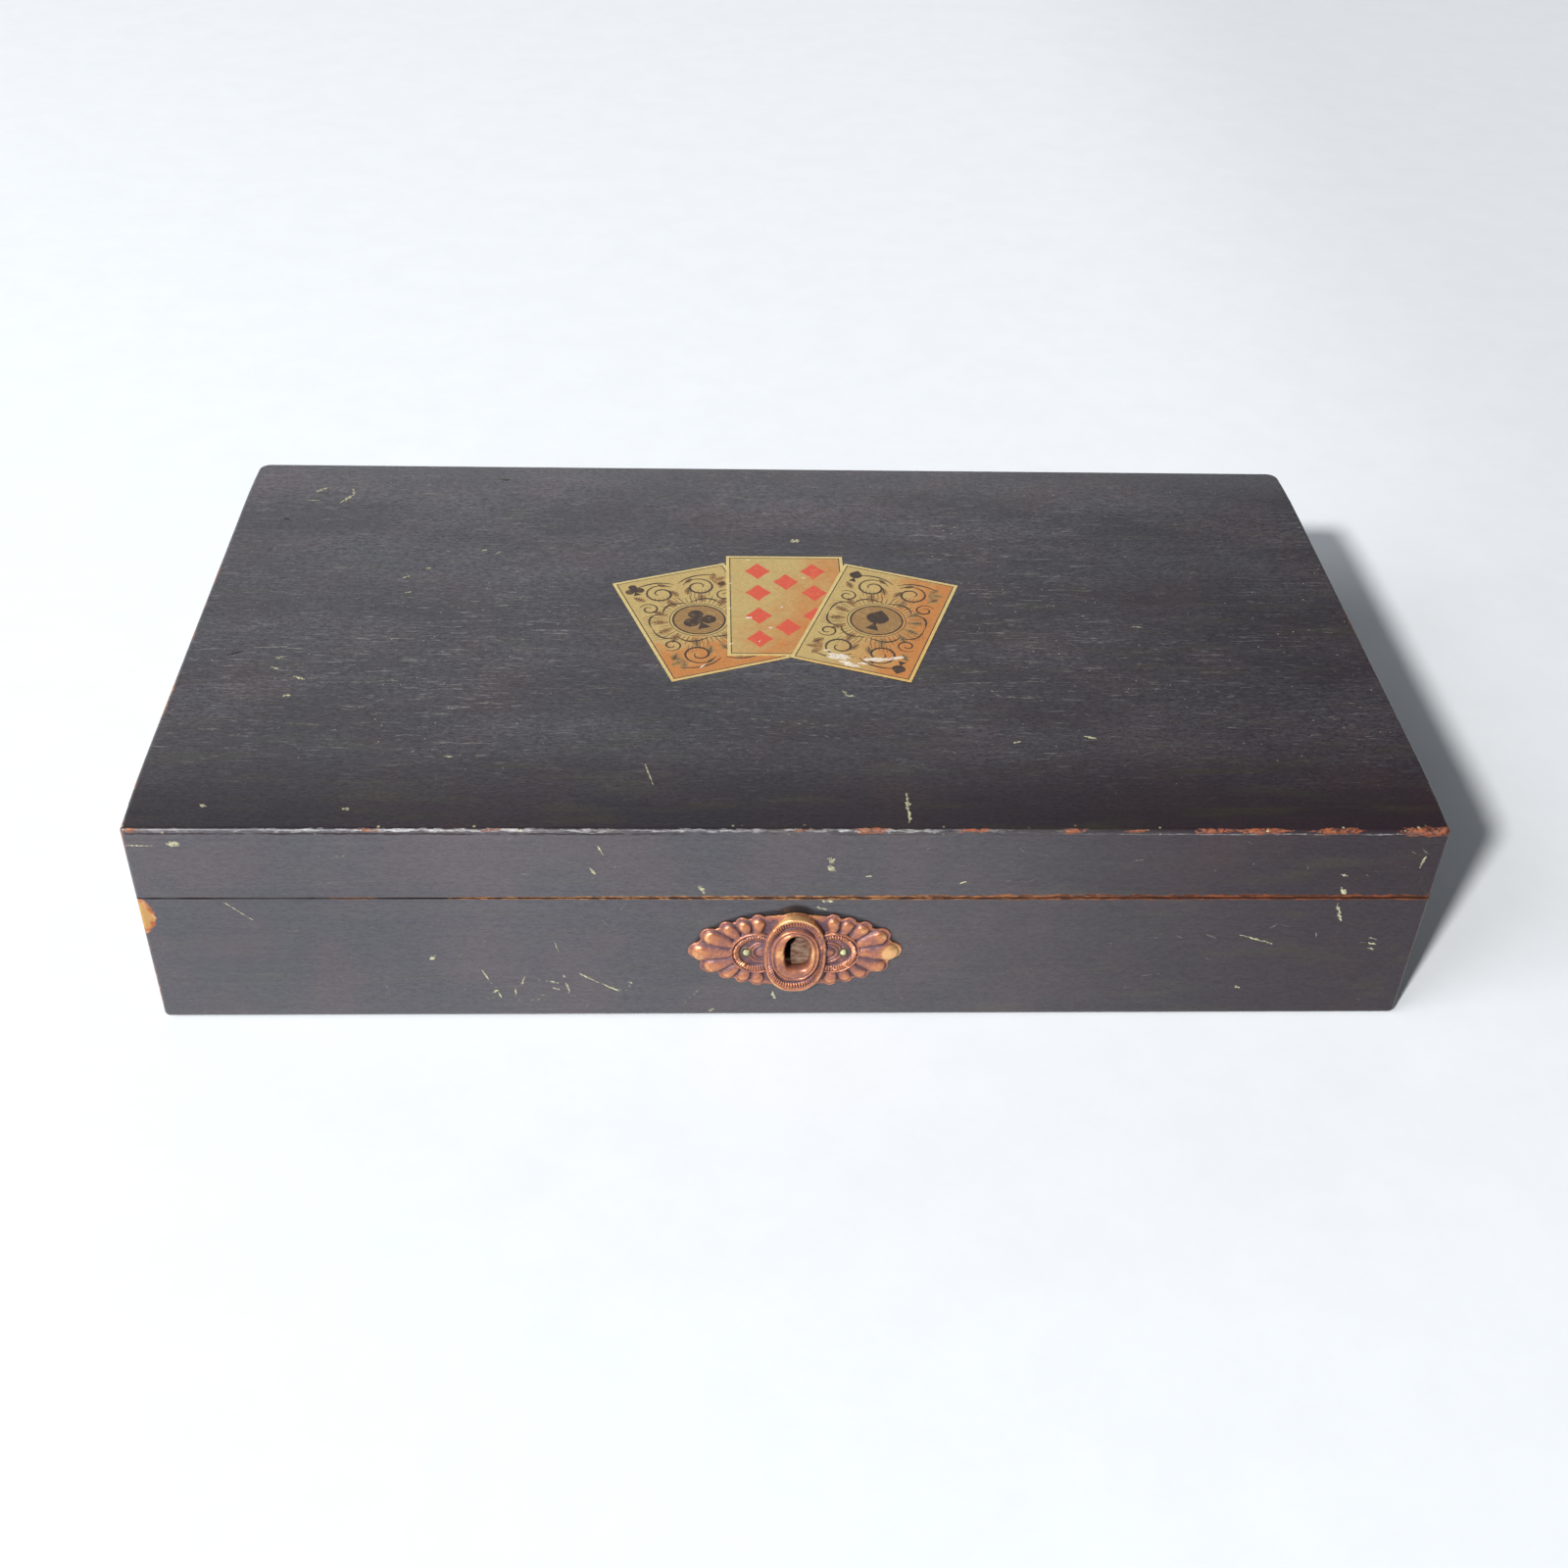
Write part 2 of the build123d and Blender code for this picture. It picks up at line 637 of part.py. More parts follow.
with BuildPart() as lock_bolt:
    # Bar with the notch that the key's bit catches
    bar_left = -eye_offset - finger_root - bolt_post_width
    bar_right = lock_cavity_half_width - bolt_travel - lock_clearance
    with BuildSketch(lock_plane.offset(lock_plate_thickness + lock_clearance)):
        with Locations((bar_left, bolt_bottom)):
            Rectangle(bar_right - bar_left, bolt_bar_height, align=(Align.MIN, Align.MIN))
        for eye_x in (-eye_offset, eye_offset):
            with Locations((eye_x - finger_root, bolt_bottom)):
                Rectangle(
                    bolt_post_width,
                    finger_bottom + bolt_finger_height - bolt_bottom,
                    align=(Align.MAX, Align.MIN),
                )
        with Locations((-bolt_travel / 2, bolt_bottom)):
            Circle(bolt_notch_radius, mode=Mode.SUBTRACT)
    extrude(amount=bolt_thickness)
    # Fingers that enter the eyes
    with BuildSketch(lock_plane.offset(lock_cavity_middle - bolt_finger_thickness / 2)):
        for eye_x in (-eye_offset, eye_offset):
            with Locations((eye_x - finger_tip, finger_bottom)):
                Rectangle(bolt_finger_length, bolt_finger_height, align=(Align.MAX, Align.MIN))
    extrude(amount=bolt_finger_thickness)
lock_bolt.part.label = "lock_bolt"

with BuildPart() as lock_spring:
    spring_low = bolt_bar_top + lock_clearance
    spring_root = lock_cavity_half_width - spring_thickness
    with BuildSketch(lock_plane.offset(lock_cavity_middle - spring_width / 2)):
        with BuildLine():
            spring_tip = lock_cavity_half_width - spring_reach
            Polyline(
                (spring_tip, spring_low),
                (lock_cavity_half_width, spring_low + spring_thickness),
                (lock_cavity_half_width, spring_low + spring_foot_height),
                (spring_root, spring_low + spring_foot_height),
                (spring_root, spring_low + 2 * spring_thickness),
                (spring_tip, spring_low + spring_thickness),
                close=True,
            )
        make_face()
    extrude(amount=spring_width)
lock_spring.part.label = "lock_spring"

with BuildPart() as lock_key_pin:
    with BuildSketch(lock_plane.offset(lock_plate_thickness)):
        Circle(key_pin_radius)
    extrude(amount=lock_cavity_depth)
    chamfer(lock_key_pin.edges().group_by(Axis.Y)[0], length=key_pin_chamfer)
lock_key_pin.part.label = "lock_key_pin"

with BuildPart() as lock_screws:
    with Locations(*lock_screw_places):
        add(make_screw(lock_screw_length))
lock_screws.part.label = "lock_screws"

with BuildPart() as lock_strike:
    with Locations((keyhole_offset, -inner_half_depth, lid_bottom)):
        Box(strike_width, lock_depth, strike_thickness, align=(Align.CENTER, Align.MAX, Align.MIN))
    eye_height = keyhole_drop + seam_gap - eye_bottom
    with Locations(
        *[
            (keyhole_offset + side * eye_offset, -inner_half_depth - lock_cavity_middle, lid_bottom)
            for side in (-1, 1)
        ]
    ):
        Box(eye_thickness, eye_depth, eye_height, align=(Align.CENTER, Align.CENTER, Align.MAX))
    with Locations(
        *[
            (
                keyhole_offset + side * eye_offset,
                -inner_half_depth - lock_cavity_middle,
                keyhole_z + eye_bottom + eye_foot,
            )
            for side in (-1, 1)
        ]
    ):
        Box(
            2 * eye_thickness,
            eye_depth - 2 * eye_wall,
            eye_window_height,
            align=(Align.CENTER, Align.CENTER, Align.MIN),
            mode=Mode.SUBTRACT,
        )
    with Locations(*strike_screw_places):
        add(make_screw(strike_screw_length, slotted=False), mode=Mode.SUBTRACT)
lock_strike.part.label = "lock_strike"

with BuildPart() as strike_screws:
    with Locations(*strike_screw_places):
        add(make_screw(strike_screw_length))
strike_screws.part.label = "strike_screws"

# Escutcheon: a plate under a fan of gadroons on each side, two dished medallions and an oval boss


def lobe_distance(angle):
    """How far from the medallion's middle a ray at this angle meets the oval that the lobes stand on."""
    along = cos(angle) / lobe_ring_half_width
    across = sin(angle) / lobe_ring_half_height
    start = medallion_offset / lobe_ring_half_width
    square = along**2 + across**2
    return (-start * along + sqrt((start * along) ** 2 + square * (1 - start**2))) / square


def lobe_points(fan_middle, outward, middle, radius):
    """Corners of a gadroon: a half-round drop that widens from its root to a blunt, rounded end."""
    lift = Vector(0, -1, 0)
    across = outward.cross(lift)
    stations = [(medallion_radius - lobe_root_sink, lobe_root_radius)]
    for bend in lobe_end_bends:
        stations.append((middle + radius * sin(radians(bend)), radius * cos(radians(bend))))
    turns = [pi * facet / lobe_facets for facet in range(lobe_facets + 1)]
    return [
        fan_middle + outward * distance + lift * (size * sin(turn)) + across * (size * cos(turn))
        for distance, size in stations
        for turn in turns
    ]


def make_oval(bottom, top, half_width, half_height, bevel):
    """An oval block on the escutcheon's plane, with a bevelled top edge."""
    with BuildPart() as oval:
        for height, narrowing in ((bottom, 0), (top - bevel, 0), (top, bevel)):
            with BuildSketch(escutcheon_plane.offset(height)):
                Ellipse(half_width - narrowing, half_height - narrowing)
        loft(ruled=True)
    return oval.part


with BuildPart() as escutcheon:
    with BuildSketch(escutcheon_plane):
        Ellipse(escutcheon_plate_half_width, escutcheon_plate_half_height)
    extrude(amount=escutcheon_plate_thickness)
    for side in (-1, 1):
        fan_middle = Vector(escutcheon_offset + side * medallion_offset, -half_depth, escutcheon_z)
        for step in range(-lobe_pairs, lobe_pairs + 1):
            angle = radians(step * lobe_step)
            outward = Vector(side * cos(angle), 0, sin(angle))
            radius = lobe_end_radius + lobe_tip_growth * abs(cos(angle)) ** lobe_growth_sharpness
            ConvexPolyhedron(lobe_points(fan_middle, outward, lobe_distance(angle), radius))
    # Medallions with a raised rim and a raised middle under each pin
    for side in (-1, 1):
        with BuildSketch(escutcheon_plane):
            with Locations((side * medallion_offset, 0)):
                Circle(medallion_radius)
        extrude(amount=medallion_height)
        with BuildSketch(escutcheon_plane.offset(medallion_height)):
            with Locations((side * medallion_offset, 0)):
                Circle(medallion_radius - medallion_rim_width)
        extrude(amount=-medallion_dish_depth, mode=Mode.SUBTRACT)
        with BuildSketch(escutcheon_plane):
            with Locations((side * escutcheon_pin_offset, 0)):
                Circle(medallion_centre_radius)
        extrude(amount=medallion_centre_height)
        with BuildSketch(escutcheon_plane):
            with Locations((side * escutcheon_pin_offset, 0)):
                RegularPolygon(escutcheon_pin_radius, pin_sides)
        extrude(amount=medallion_centre_height, mode=Mode.SUBTRACT)
    # Oval boss with a bevelled rim, a sunk groove and a raised ring round the opening
    add(make_oval(0, boss_height, boss_half_width, boss_half_height, boss_bevel))
    groove_floor = boss_height - boss_groove_depth
    with BuildSketch(escutcheon_plane.offset(groove_floor)):
        Ellipse(boss_half_width - boss_rim_width, boss_half_height - boss_rim_width)
    extrude(amount=keyhole_ring_height, mode=Mode.SUBTRACT)
    ring_size = (keyhole_ring_half_width, keyhole_ring_half_height)
    add(make_oval(groove_floor, keyhole_ring_height, *ring_size, keyhole_ring_bevel))
    # The back of the boss is hollow, as the sheet is pressed from behind
    with BuildSketch(escutcheon_plane):
        Ellipse(boss_half_width - boss_hollow_wall, boss_half_height - boss_hollow_wall)
    extrude(amount=boss_hollow_depth, mode=Mode.SUBTRACT)
    with BuildSketch(escutcheon_plane):
        with Locations((opening_shift, opening_top_rise)):
            Circle(opening_top_radius)
        with Locations(
            (opening_shift - opening_foot_spread, -opening_foot_drop),
            (opening_shift + opening_foot_spread, -opening_foot_drop),
        ):
            Circle(opening_foot_radius)
        make_hull()
    extrude(amount=keyhole_ring_height, mode=Mode.SUBTRACT)
escutcheon.part.label = "escutcheon"

with BuildPart() as escutcheon_pins:
    with BuildSketch(escutcheon_plane.offset(-escutcheon_pin_depth)):
        with Locations(*escutcheon_pin_spots):
            RegularPolygon(escutcheon_pin_radius, pin_sides)
    extrude(amount=escutcheon_pin_depth + medallion_centre_height)
    with BuildSketch(escutcheon_plane.offset(medallion_centre_height)):
        with Locations(*escutcheon_pin_spots):
            RegularPolygon(pin_head_radius, pin_sides)
    extrude(amount=pin_head_height)
    chamfer(escutcheon_pins.faces().group_by(Axis.Y)[0].edges(), length=pin_head_chamfer)
escutcheon_pins.part.label = "escutcheon_pins"

# Write every piece
pieces = [
    base_bottom_board.part,
    base_front_board.part,
    base_back_board.part,
    base_left_end.part,
    base_right_end.part,
    divider_long.part,
    divider_left.part,
    divider_middle.part,
    divider_right.part,
    lid_top_board.part,
    lid_front_rail.part,
    lid_back_rail.part,
    lid_left_rail.part,
    lid_right_rail.part,
    card_transfer.part,
    hinge_base_screws.part,
    hinge_lid_screws.part,
    lock_case.part,
    lock_cover.part,
    lock_bolt.part,
    lock_spring.part,
    lock_key_pin.part,
    lock_screws.part,
    lock_strike.part,
    strike_screws.part,
    escutcheon.part,
    escutcheon_pins.part,
] + hinge_parts

os.makedirs("parts", exist_ok=True)
for piece in pieces:
    export_step(piece, f"parts/{piece.label}.step")
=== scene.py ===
"""Looks of the card game box: worn ebonised wood, a stamped copper escutcheon and a print of three cards.

The frame is the part's own: the front faces -Y, up is +Z and the origin is the middle of the underside.
Sizes and places are written in millimetres, and MM turns them into metres.
"""

import math
import random

import bmesh
import bpy
import numpy as np
from mathutils import Matrix, Vector


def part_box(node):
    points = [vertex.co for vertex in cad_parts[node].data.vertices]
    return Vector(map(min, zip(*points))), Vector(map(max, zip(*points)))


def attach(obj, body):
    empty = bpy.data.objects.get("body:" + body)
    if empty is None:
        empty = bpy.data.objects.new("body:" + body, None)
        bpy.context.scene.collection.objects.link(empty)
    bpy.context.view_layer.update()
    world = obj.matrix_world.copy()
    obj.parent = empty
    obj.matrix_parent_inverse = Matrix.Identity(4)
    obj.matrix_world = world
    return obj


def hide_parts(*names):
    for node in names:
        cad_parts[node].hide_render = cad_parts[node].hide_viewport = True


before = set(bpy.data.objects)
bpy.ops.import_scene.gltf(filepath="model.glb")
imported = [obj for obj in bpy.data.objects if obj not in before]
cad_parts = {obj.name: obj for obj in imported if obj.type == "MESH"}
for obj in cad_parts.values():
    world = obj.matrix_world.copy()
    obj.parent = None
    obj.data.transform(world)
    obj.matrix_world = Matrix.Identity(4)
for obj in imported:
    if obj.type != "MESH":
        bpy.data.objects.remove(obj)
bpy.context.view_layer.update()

MM = 0.001


def box_in_mm(node):
    """Lowest and highest corner of a CAD node, in millimetres."""
    low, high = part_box(node)
    return low / MM, high / MM


# Places that the frame gives
lid_low, lid_high = box_in_mm("lid_top_board")
half_length = lid_high.x
front_y = lid_low.y
half_depth = -front_y
lid_top = lid_high.z
base_top = box_in_mm("base_front_board")[1].z
lid_bottom = box_in_mm("lid_front_rail")[0].z
seam_z = (base_top + lid_bottom) / 2
floor_top = box_in_mm("base_bottom_board")[1].z
wall = 8.0
inner_x = half_length - wall
inner_y = half_depth - wall
plate_low, plate_high = box_in_mm("escutcheon")
plate_x = (plate_low.x + plate_high.x) / 2
plate_z = (plate_low.z + plate_high.z) / 2

# The lid's cross-section: a flat with a shoulder that falls towards each long edge
lid_crown = 1.2
lid_shoulder = 24.0
lid_edge_top = lid_top - lid_crown
shoulder_radius = (lid_shoulder**2 + lid_crown**2) / (2 * lid_crown)


def lid_height(y):
    """Height of the lid's upper face at this distance from its middle line."""
    past_flat = max(0.0, abs(y) - (half_depth - lid_shoulder))
    return lid_top - shoulder_radius + math.sqrt(shoulder_radius**2 - past_flat**2)


class Value:
    """A number that a node gives. It can be added to, taken away from and multiplied."""

    def __init__(self, shader, socket):
        self.shader = shader
        self.socket = socket

    def __add__(self, other):
        return self.shader.math("ADD", self, other)

    def __sub__(self, other):
        return self.shader.math("SUBTRACT", self, other)

    def __rsub__(self, other):
        return self.shader.math("SUBTRACT", other, self)

    def __mul__(self, other):
        return self.shader.math("MULTIPLY", self, other)

    def __abs__(self):
        return self.shader.math("ABSOLUTE", self)


class Shader:
    """One material's node tree. Every input takes a Value, a socket or a plain number."""

    def __init__(self, name):
        self.material = bpy.data.materials.new(name)
        self.material.use_nodes = True
        self.tree = self.material.node_tree
        self.tree.nodes.clear()
        self.surface = self.node("ShaderNodeBsdfPrincipled")
        output = self.node("ShaderNodeOutputMaterial")
        self.tree.links.new(self.surface.outputs["BSDF"], output.inputs["Surface"])
        place = self.node("ShaderNodeTexCoord")
        self.normal = place.outputs["Normal"]
        self.place = self.vector("SCALE", place.outputs["Object"], Scale=1 / MM)
        self.x, self.y, self.z = self.split(self.place)

    def feed(self, socket, value):
        """Links what a node gives to an input, or sets the input's own value."""
        if isinstance(value, Value):
            value = value.socket
        if isinstance(value, bpy.types.NodeSocket):
            self.tree.links.new(value, socket)
        else:
            socket.default_value = value

    def node(self, kind, inputs=None, **settings):
        """Adds a node; inputs are fed by name or number."""
        node = self.tree.nodes.new(kind)
        for key, value in settings.items():
            setattr(node, key, value)
        for key, value in (inputs or {}).items():
            self.feed(node.inputs[key], value)
        return node

    def vector(self, operation, first, second=None, **named):
        """Vector arithmetic."""
        inputs = {0: first, **named}
        if second is not None:
            inputs[1] = second
        return self.node("ShaderNodeVectorMath", inputs, operation=operation).outputs[0]

    def split(self, vector):
        """The three parts of a vector."""
        return [Value(self, part) for part in self.node("ShaderNodeSeparateXYZ", {0: vector}).outputs]

    def math(self, operation, *values):
        """Arithmetic on one or two values."""
        inputs = dict(enumerate(values))
        return Value(self, self.node("ShaderNodeMath", inputs, operation=operation).outputs[0])

    def largest(self, first, *others):
        """The largest of the values."""
        for other in others:
            first = self.math("MAXIMUM", first, other)
        return first

    def fade(self, value, start, end, low=0.0, high=1.0):
        """Goes smoothly from low, where the value is start, to high, where it is end."""
        if start > end:
            start, end, low, high = end, start, high, low
        inputs = {"Value": value, "From Min": start, "From Max": end, "To Min": low, "To Max": high}
        node = self.node("ShaderNodeMapRange", inputs, interpolation_type="SMOOTHSTEP")
        return Value(self, node.outputs[0])

    def near(self, value, middle, reach, soft):
        """One where the value is within reach of the middle, and none beyond a soft edge."""
        return self.fade(abs(value - middle), reach + soft, reach)

    def noise(self, cycles, detail=4.0, roughness=0.5, shift=(0, 0, 0)):
        """Noise from 0 to 1, with so many cycles a millimetre, or so many along X, Y and Z."""
        if not isinstance(cycles, tuple):
            cycles = (cycles,) * 3
        moved = self.vector("ADD", self.vector("MULTIPLY", self.place, cycles), shift)
        inputs = {"Vector": moved, "Scale": 1.0, "Detail": detail, "Roughness": roughness}
        return Value(self, self.node("ShaderNodeTexNoise", inputs).outputs["Fac"])

    def specks(self, cell, radius, share, shift=(0, 0, 0)):
        """Small round specks, one in a share of the cells of this size."""
        moved = self.vector("ADD", self.vector("SCALE", self.place, Scale=1 / cell), shift)
        cells = self.node("ShaderNodeTexVoronoi", {"Vector": moved, "Scale": 1.0})
        reach = radius / cell
        dot = self.fade(cells.outputs["Distance"], reach, reach * 0.5)
        draw = self.split(cells.outputs["Color"])[0]
        return dot * self.math("LESS_THAN", draw, share)

    def mix(self, share, first, second):
        """Mixes two colours."""
        node = self.node("ShaderNodeMix", {0: share}, data_type="RGBA")
        self.feed(node.inputs[6], first)
        self.feed(node.inputs[7], second)
        return node.outputs[2]

    def shade(self, colour, factor):
        """Makes a colour darker or lighter."""
        return self.vector("SCALE", colour, Scale=factor)

    def bump(self, height, depth):
        """Bump of this depth, in millimetres, where the height goes from 0 to 1."""
        inputs = {"Strength": 1.0, "Distance": depth * MM, "Height": height}
        return self.node("ShaderNodeBump", inputs).outputs["Normal"]

    def finish(self, **sockets):
        """Feeds the surface's sockets, written with underscores, and gives the material."""
        for name, value in sockets.items():
            self.feed(self.surface.inputs[name.replace("_", " ")], value)
        return self.material


def rgb(red, green, blue):
    """A colour from the 0 to 255 values that a screen shows."""

    def linear(value):
        """A screen value as light."""
        value /= 255
        return value / 12.92 if value <= 0.04045 else ((value + 0.055) / 1.055) ** 2.4

    return (linear(red), linear(green), linear(blue), 1.0)


# Colours in and under the black finish
EBONY_COOL = rgb(31, 26, 34)
EBONY_WARM = rgb(36, 26, 32)
EBONY_RED = rgb(56, 36, 36)
EBONY_OLIVE = rgb(48, 45, 32)
# Grey haze of dust on the finish, also used as painted sheen and painted reflection
HAZE_SHEEN_COOL = rgb(87, 88, 95)
HAZE_SHEEN_WARM = rgb(97, 91, 97)
SCUFF = rgb(166, 163, 154)
FLECK = rgb(176, 172, 134)
# Painted highlight along the lid's front arris, mixed with rubbed wear
RUBBED_WHITE_HIGHLIGHT = rgb(186, 184, 184)
BARE_ORANGE = rgb(150, 80, 44)
BARE_PALE = rgb(186, 142, 102)
BARE_PINK = rgb(126, 88, 79)
BARE_BROWN = rgb(92, 54, 38)
BARE_OCHRE = rgb(168, 130, 76)
SEAM_PALE = rgb(164, 116, 74)
SEAM_RED = rgb(122, 66, 42)
SEAM_BROWN = rgb(62, 38, 28)
RIM_DARK = rgb(44, 32, 28)
RIM_GREY = rgb(72, 68, 68)
JOINT_DARK = rgb(44, 30, 30)
BARE_GREY = rgb(138, 120, 102)
INNER_LIGHT = rgb(142, 98, 62)
INNER_DARK = rgb(98, 62, 38)

# Worn places along the front arris of the lid: middle, half length and half height
ARRIS_CHIPS = [
    (-144.0, 2.6, 0.9),
    (-92.0, 1.8, 0.7),
    (-66.0, 1.6, 0.7),
    (1.5, 2.6, 0.9),
    (16.5, 3.6, 0.9),
    (38.5, 3.8, 0.9),
    (61.0, 2.4, 0.8),
    (75.0, 1.8, 0.7),
    (93.0, 5.0, 1.0),
    (103.0, 6.5, 1.2),
    (120.0, 5.6, 1.0),
    (142.0, 8.0, 1.7),
]

# Chip at the left end of the base's upper edge: its middle, and half its width and height
CORNER_CHIP = (-half_length - 0.6, base_top - 5.0)
CORNER_CHIP_HALF = (3.9, 5.4)

# Painted shade and dark polish along the upper edge of the escutcheon: half the width and height of each
# oval
SHADE_AND_POLISH_OVALS = [(24.6, 13.0), (9.2, 14.4)]


def on_front_face(s):
    """One on the front of the box, and none behind it."""
    return s.fade(s.y, front_y + 0.6, front_y + 0.1)


def oval_distance(across, up, half):
    """Square of the distance from an oval's middle: 1 on its edge."""
    across *= 1 / half[0]
    up *= 1 / half[1]
    return across * across + up * up


def rubbed_finish(s, grain, broad, fibres):
    """The black finish with its grey haze of dust and painted sheen, pale dashes along the grain and
    specks.

    Gives the colour, the share of haze and sheen, and the fine speckle.
    """
    x, y = s.x, s.y
    patches = s.noise(0.05, shift=(7, 3, 1))
    smears = s.noise(grain(0.04, 0.22), roughness=0.6, shift=(1, 9, 5))
    colour = s.mix(s.fade(broad, 0.35, 0.65), EBONY_COOL, EBONY_WARM)
    colour = s.mix(s.fade(patches, 0.5, 0.75, high=0.3), colour, EBONY_RED)
    colour = s.mix(s.fade(smears, 0.5, 0.7, high=0.5), colour, EBONY_OLIVE)

    on_top = s.fade(s.z, lid_edge_top - 0.6, lid_edge_top + 0.2)
    # On the lid's top; the haze fades out towards the front edge, which paints the front shoulder darker
    # as shade
    rubbed = on_top * s.fade(y, front_y + 2, front_y + 40, 0.04, 1.0)
    front = on_front_face(s)
    # Painted light: the haze and the front's veil grow towards the left, where the light falls
    leftward = s.fade(x, 150, -60, 0.12, 1.0)
    cloud = s.fade(s.noise(grain(0.02, 0.06), detail=5, shift=(6, 4, 9)), 0.32, 0.68, 0.3, 1.0)
    # Painted sheen: the haze is also made stronger towards the back, as a reflection of the bright wall
    haze_and_sheen = rubbed * cloud * s.fade(leftward, 0.0, 1.0, 0.58, 1.0) * s.fade(y, -10, 70, 0.74, 1.16)
    speckle = s.noise(grain(0.7, 2.4), roughness=0.9, shift=(2, 6, 1))
    grit = s.fade(fibres, 0.3, 0.7, 0.0, 0.15) + s.fade(speckle, 0.38, 0.64, 0.0, 0.8)
    # Grey veil on the front: a dusty finish, partly a painted reflection of the bright floor, lighter
    # towards the left
    front_veil_and_sheen = front * leftward * s.fade(broad, 0.3, 0.7, 0.34, 0.46)
    haze_sheen_colour = s.mix(s.fade(patches, 0.4, 0.6), HAZE_SHEEN_COOL, HAZE_SHEEN_WARM)
    colour = s.mix(s.largest(haze_and_sheen * grit, front_veil_and_sheen), colour, haze_sheen_colour)

    worn = s.fade(s.noise(0.02, shift=(11, 5, 2)), 0.4, 0.62)
    dashes = s.fade(s.noise(grain(0.16, 1.5), roughness=0.8, shift=(3, 9, 4)), 0.57, 0.67)
    scuffed = dashes * s.largest(rubbed, front * 0.1) * s.fade(worn, 0.0, 1.0, 0.5, 1.0)
    colour = s.mix(scuffed * s.fade(x, 30, 130, 0.42, 0.2), colour, SCUFF)
    dots = s.largest(s.specks(2.1, 0.22, 0.36), s.specks(5.3, 0.32, 0.12, shift=(5, 2, 8)))
    dots *= s.largest(rubbed, 0.12) * s.fade(worn, 0.0, 1.0, 0.4, 1.0) * 0.8
    return s.mix(dots, colour, FLECK), haze_and_sheen, speckle


def arris_wear(s, jitter, lengths):
    """Bare patches, the white line of rubbed wear and painted highlight, pale flecks and the dark joint
    along the lid's front arris.
    """
    x = s.x
    back = s.y - front_y
    down = lid_edge_top - s.z
    at_arris = s.fade(s.largest(back, down), 3.2, 2.4)
    across = back - down
    wavy = across + jitter * 0.8
    steady = across + jitter * 0.3

    torn = s.noise((0.9, 2.5, 2.5), roughness=0.75, shift=(5, 6, 3))
    ragged_x = x + jitter * 2.0 + s.fade(torn, 0.25, 0.75, -2.2, 2.2)
    chips = [
        s.near(ragged_x, middle, reach * 0.65, reach * 0.4) * height
        for middle, reach, height in ARRIS_CHIPS
    ]
    swell = s.largest(*chips) * s.fade(lengths, 0.36, 0.6, 0.52, 1.04)
    bare = s.fade(abs(wavy + swell * 0.1) - swell, 0.0, -0.3) * at_arris
    frayed = s.fade(s.noise(0.9, roughness=0.7, shift=(8, 8, 2)), 0.38, 0.54, 0.12, 0.9)

    broken = s.noise((0.22, 0.6, 0.6), detail=5, roughness=0.7, shift=(9, 1, 5))
    broken = s.fade(broken, 0.4, 0.66, 0.12, 0.9) * at_arris
    # Painted highlight: a white line along the arris, strong on the left half where the light glints and
    # fading to the right, with rubbed wear in it
    line = s.near(wavy, -0.1, 0.2, 0.4) * s.fade(lengths, 0.34, 0.54, 0.25, 1.0)
    line *= s.fade(x, 75, -10) * s.fade(x, -146, -80, 0.3, 1.0)
    lower_line = s.near(steady, -1.1, 0.06, 0.16) * s.fade(x, 40, 100, high=0.5)
    line = s.largest(line, lower_line) * broken * s.fade(bare, 0.4, 0.1)

    flecks = s.specks(1.7, 0.42, 0.22, shift=(1, 4, 2))
    flecks *= s.near(across, 0.3, 0.7, 1.2) * at_arris * 0.75
    joint = s.near(steady, -1.2, 0.12, 0.25) * at_arris
    joint *= s.fade(x, 60, -60, 0.35, 1.0) * s.fade(lengths, 0.42, 0.54, 0.1, 1.0)
    return bare * frayed, line, flecks, joint


def seam_wear(s, jitter, lengths):
    """Worn brown edges of the seam, broad at the right and gone at the left, and its brown rims."""
    from_front = s.fade(s.y - front_y, 0.8, 0.3)
    growth = s.fade(s.x, -110, 90, high=0.72)
    patchy = s.fade(lengths + s.fade(s.x, -145, -15, -0.22, 0.25), 0.46, 0.56)
    reach = growth * patchy * s.fade(jitter, -0.35, 0.35, 0.55, 1.25) + jitter * 0.1
    bands = []
    for distance, share in ((s.z - lid_bottom, 1.0), (base_top - s.z, 0.35)):
        band = s.fade(distance - reach * share, 0.12, 0.0)
        bands.append(band * s.math("GREATER_THAN", distance, -0.05))
    brown_rim = patchy * from_front
    return s.largest(*bands) * brown_rim, brown_rim


def corner_wear(s, jitter, lengths, rough):
    """Wear along the upright corners, the foot, the lid's ends and the chip at the base's left corner."""
    x, z = s.x, s.z
    from_front = s.y - front_y
    from_middle = abs(x)
    from_end = half_length - from_middle
    spots = s.noise(0.1, detail=3, shift=(4, 4, 4))
    upright = s.fade(s.largest(from_front, from_end) + jitter * 0.5, 0.55, 0.25)
    upright *= s.fade(spots, 0.5, 0.62) * 0.7
    lid_end = s.fade(s.largest(from_end, lid_edge_top - z) + jitter * 0.6, 0.8, 0.45)
    lid_end *= s.fade(spots, 0.55, 0.66) * 0.75
    foot = s.fade(s.largest(from_front, z) + jitter, 1.2, 0.7)
    foot *= s.fade(lengths + s.fade(from_middle, 120, 143, high=0.2), 0.6, 0.7)
    distance = oval_distance(x - CORNER_CHIP[0], z - CORNER_CHIP[1], CORNER_CHIP_HALF)
    distance += s.fade(rough, 0.2, 0.8, -0.3, 0.3)
    chip = s.fade(distance, 1.05, 0.95) * s.fade(from_front, 2.6, 2.0) * s.fade(z, lid_bottom, base_top)
    core = chip * s.fade(distance, 0.8, 0.45)
    return s.largest(upright, lid_end, foot, chip), core


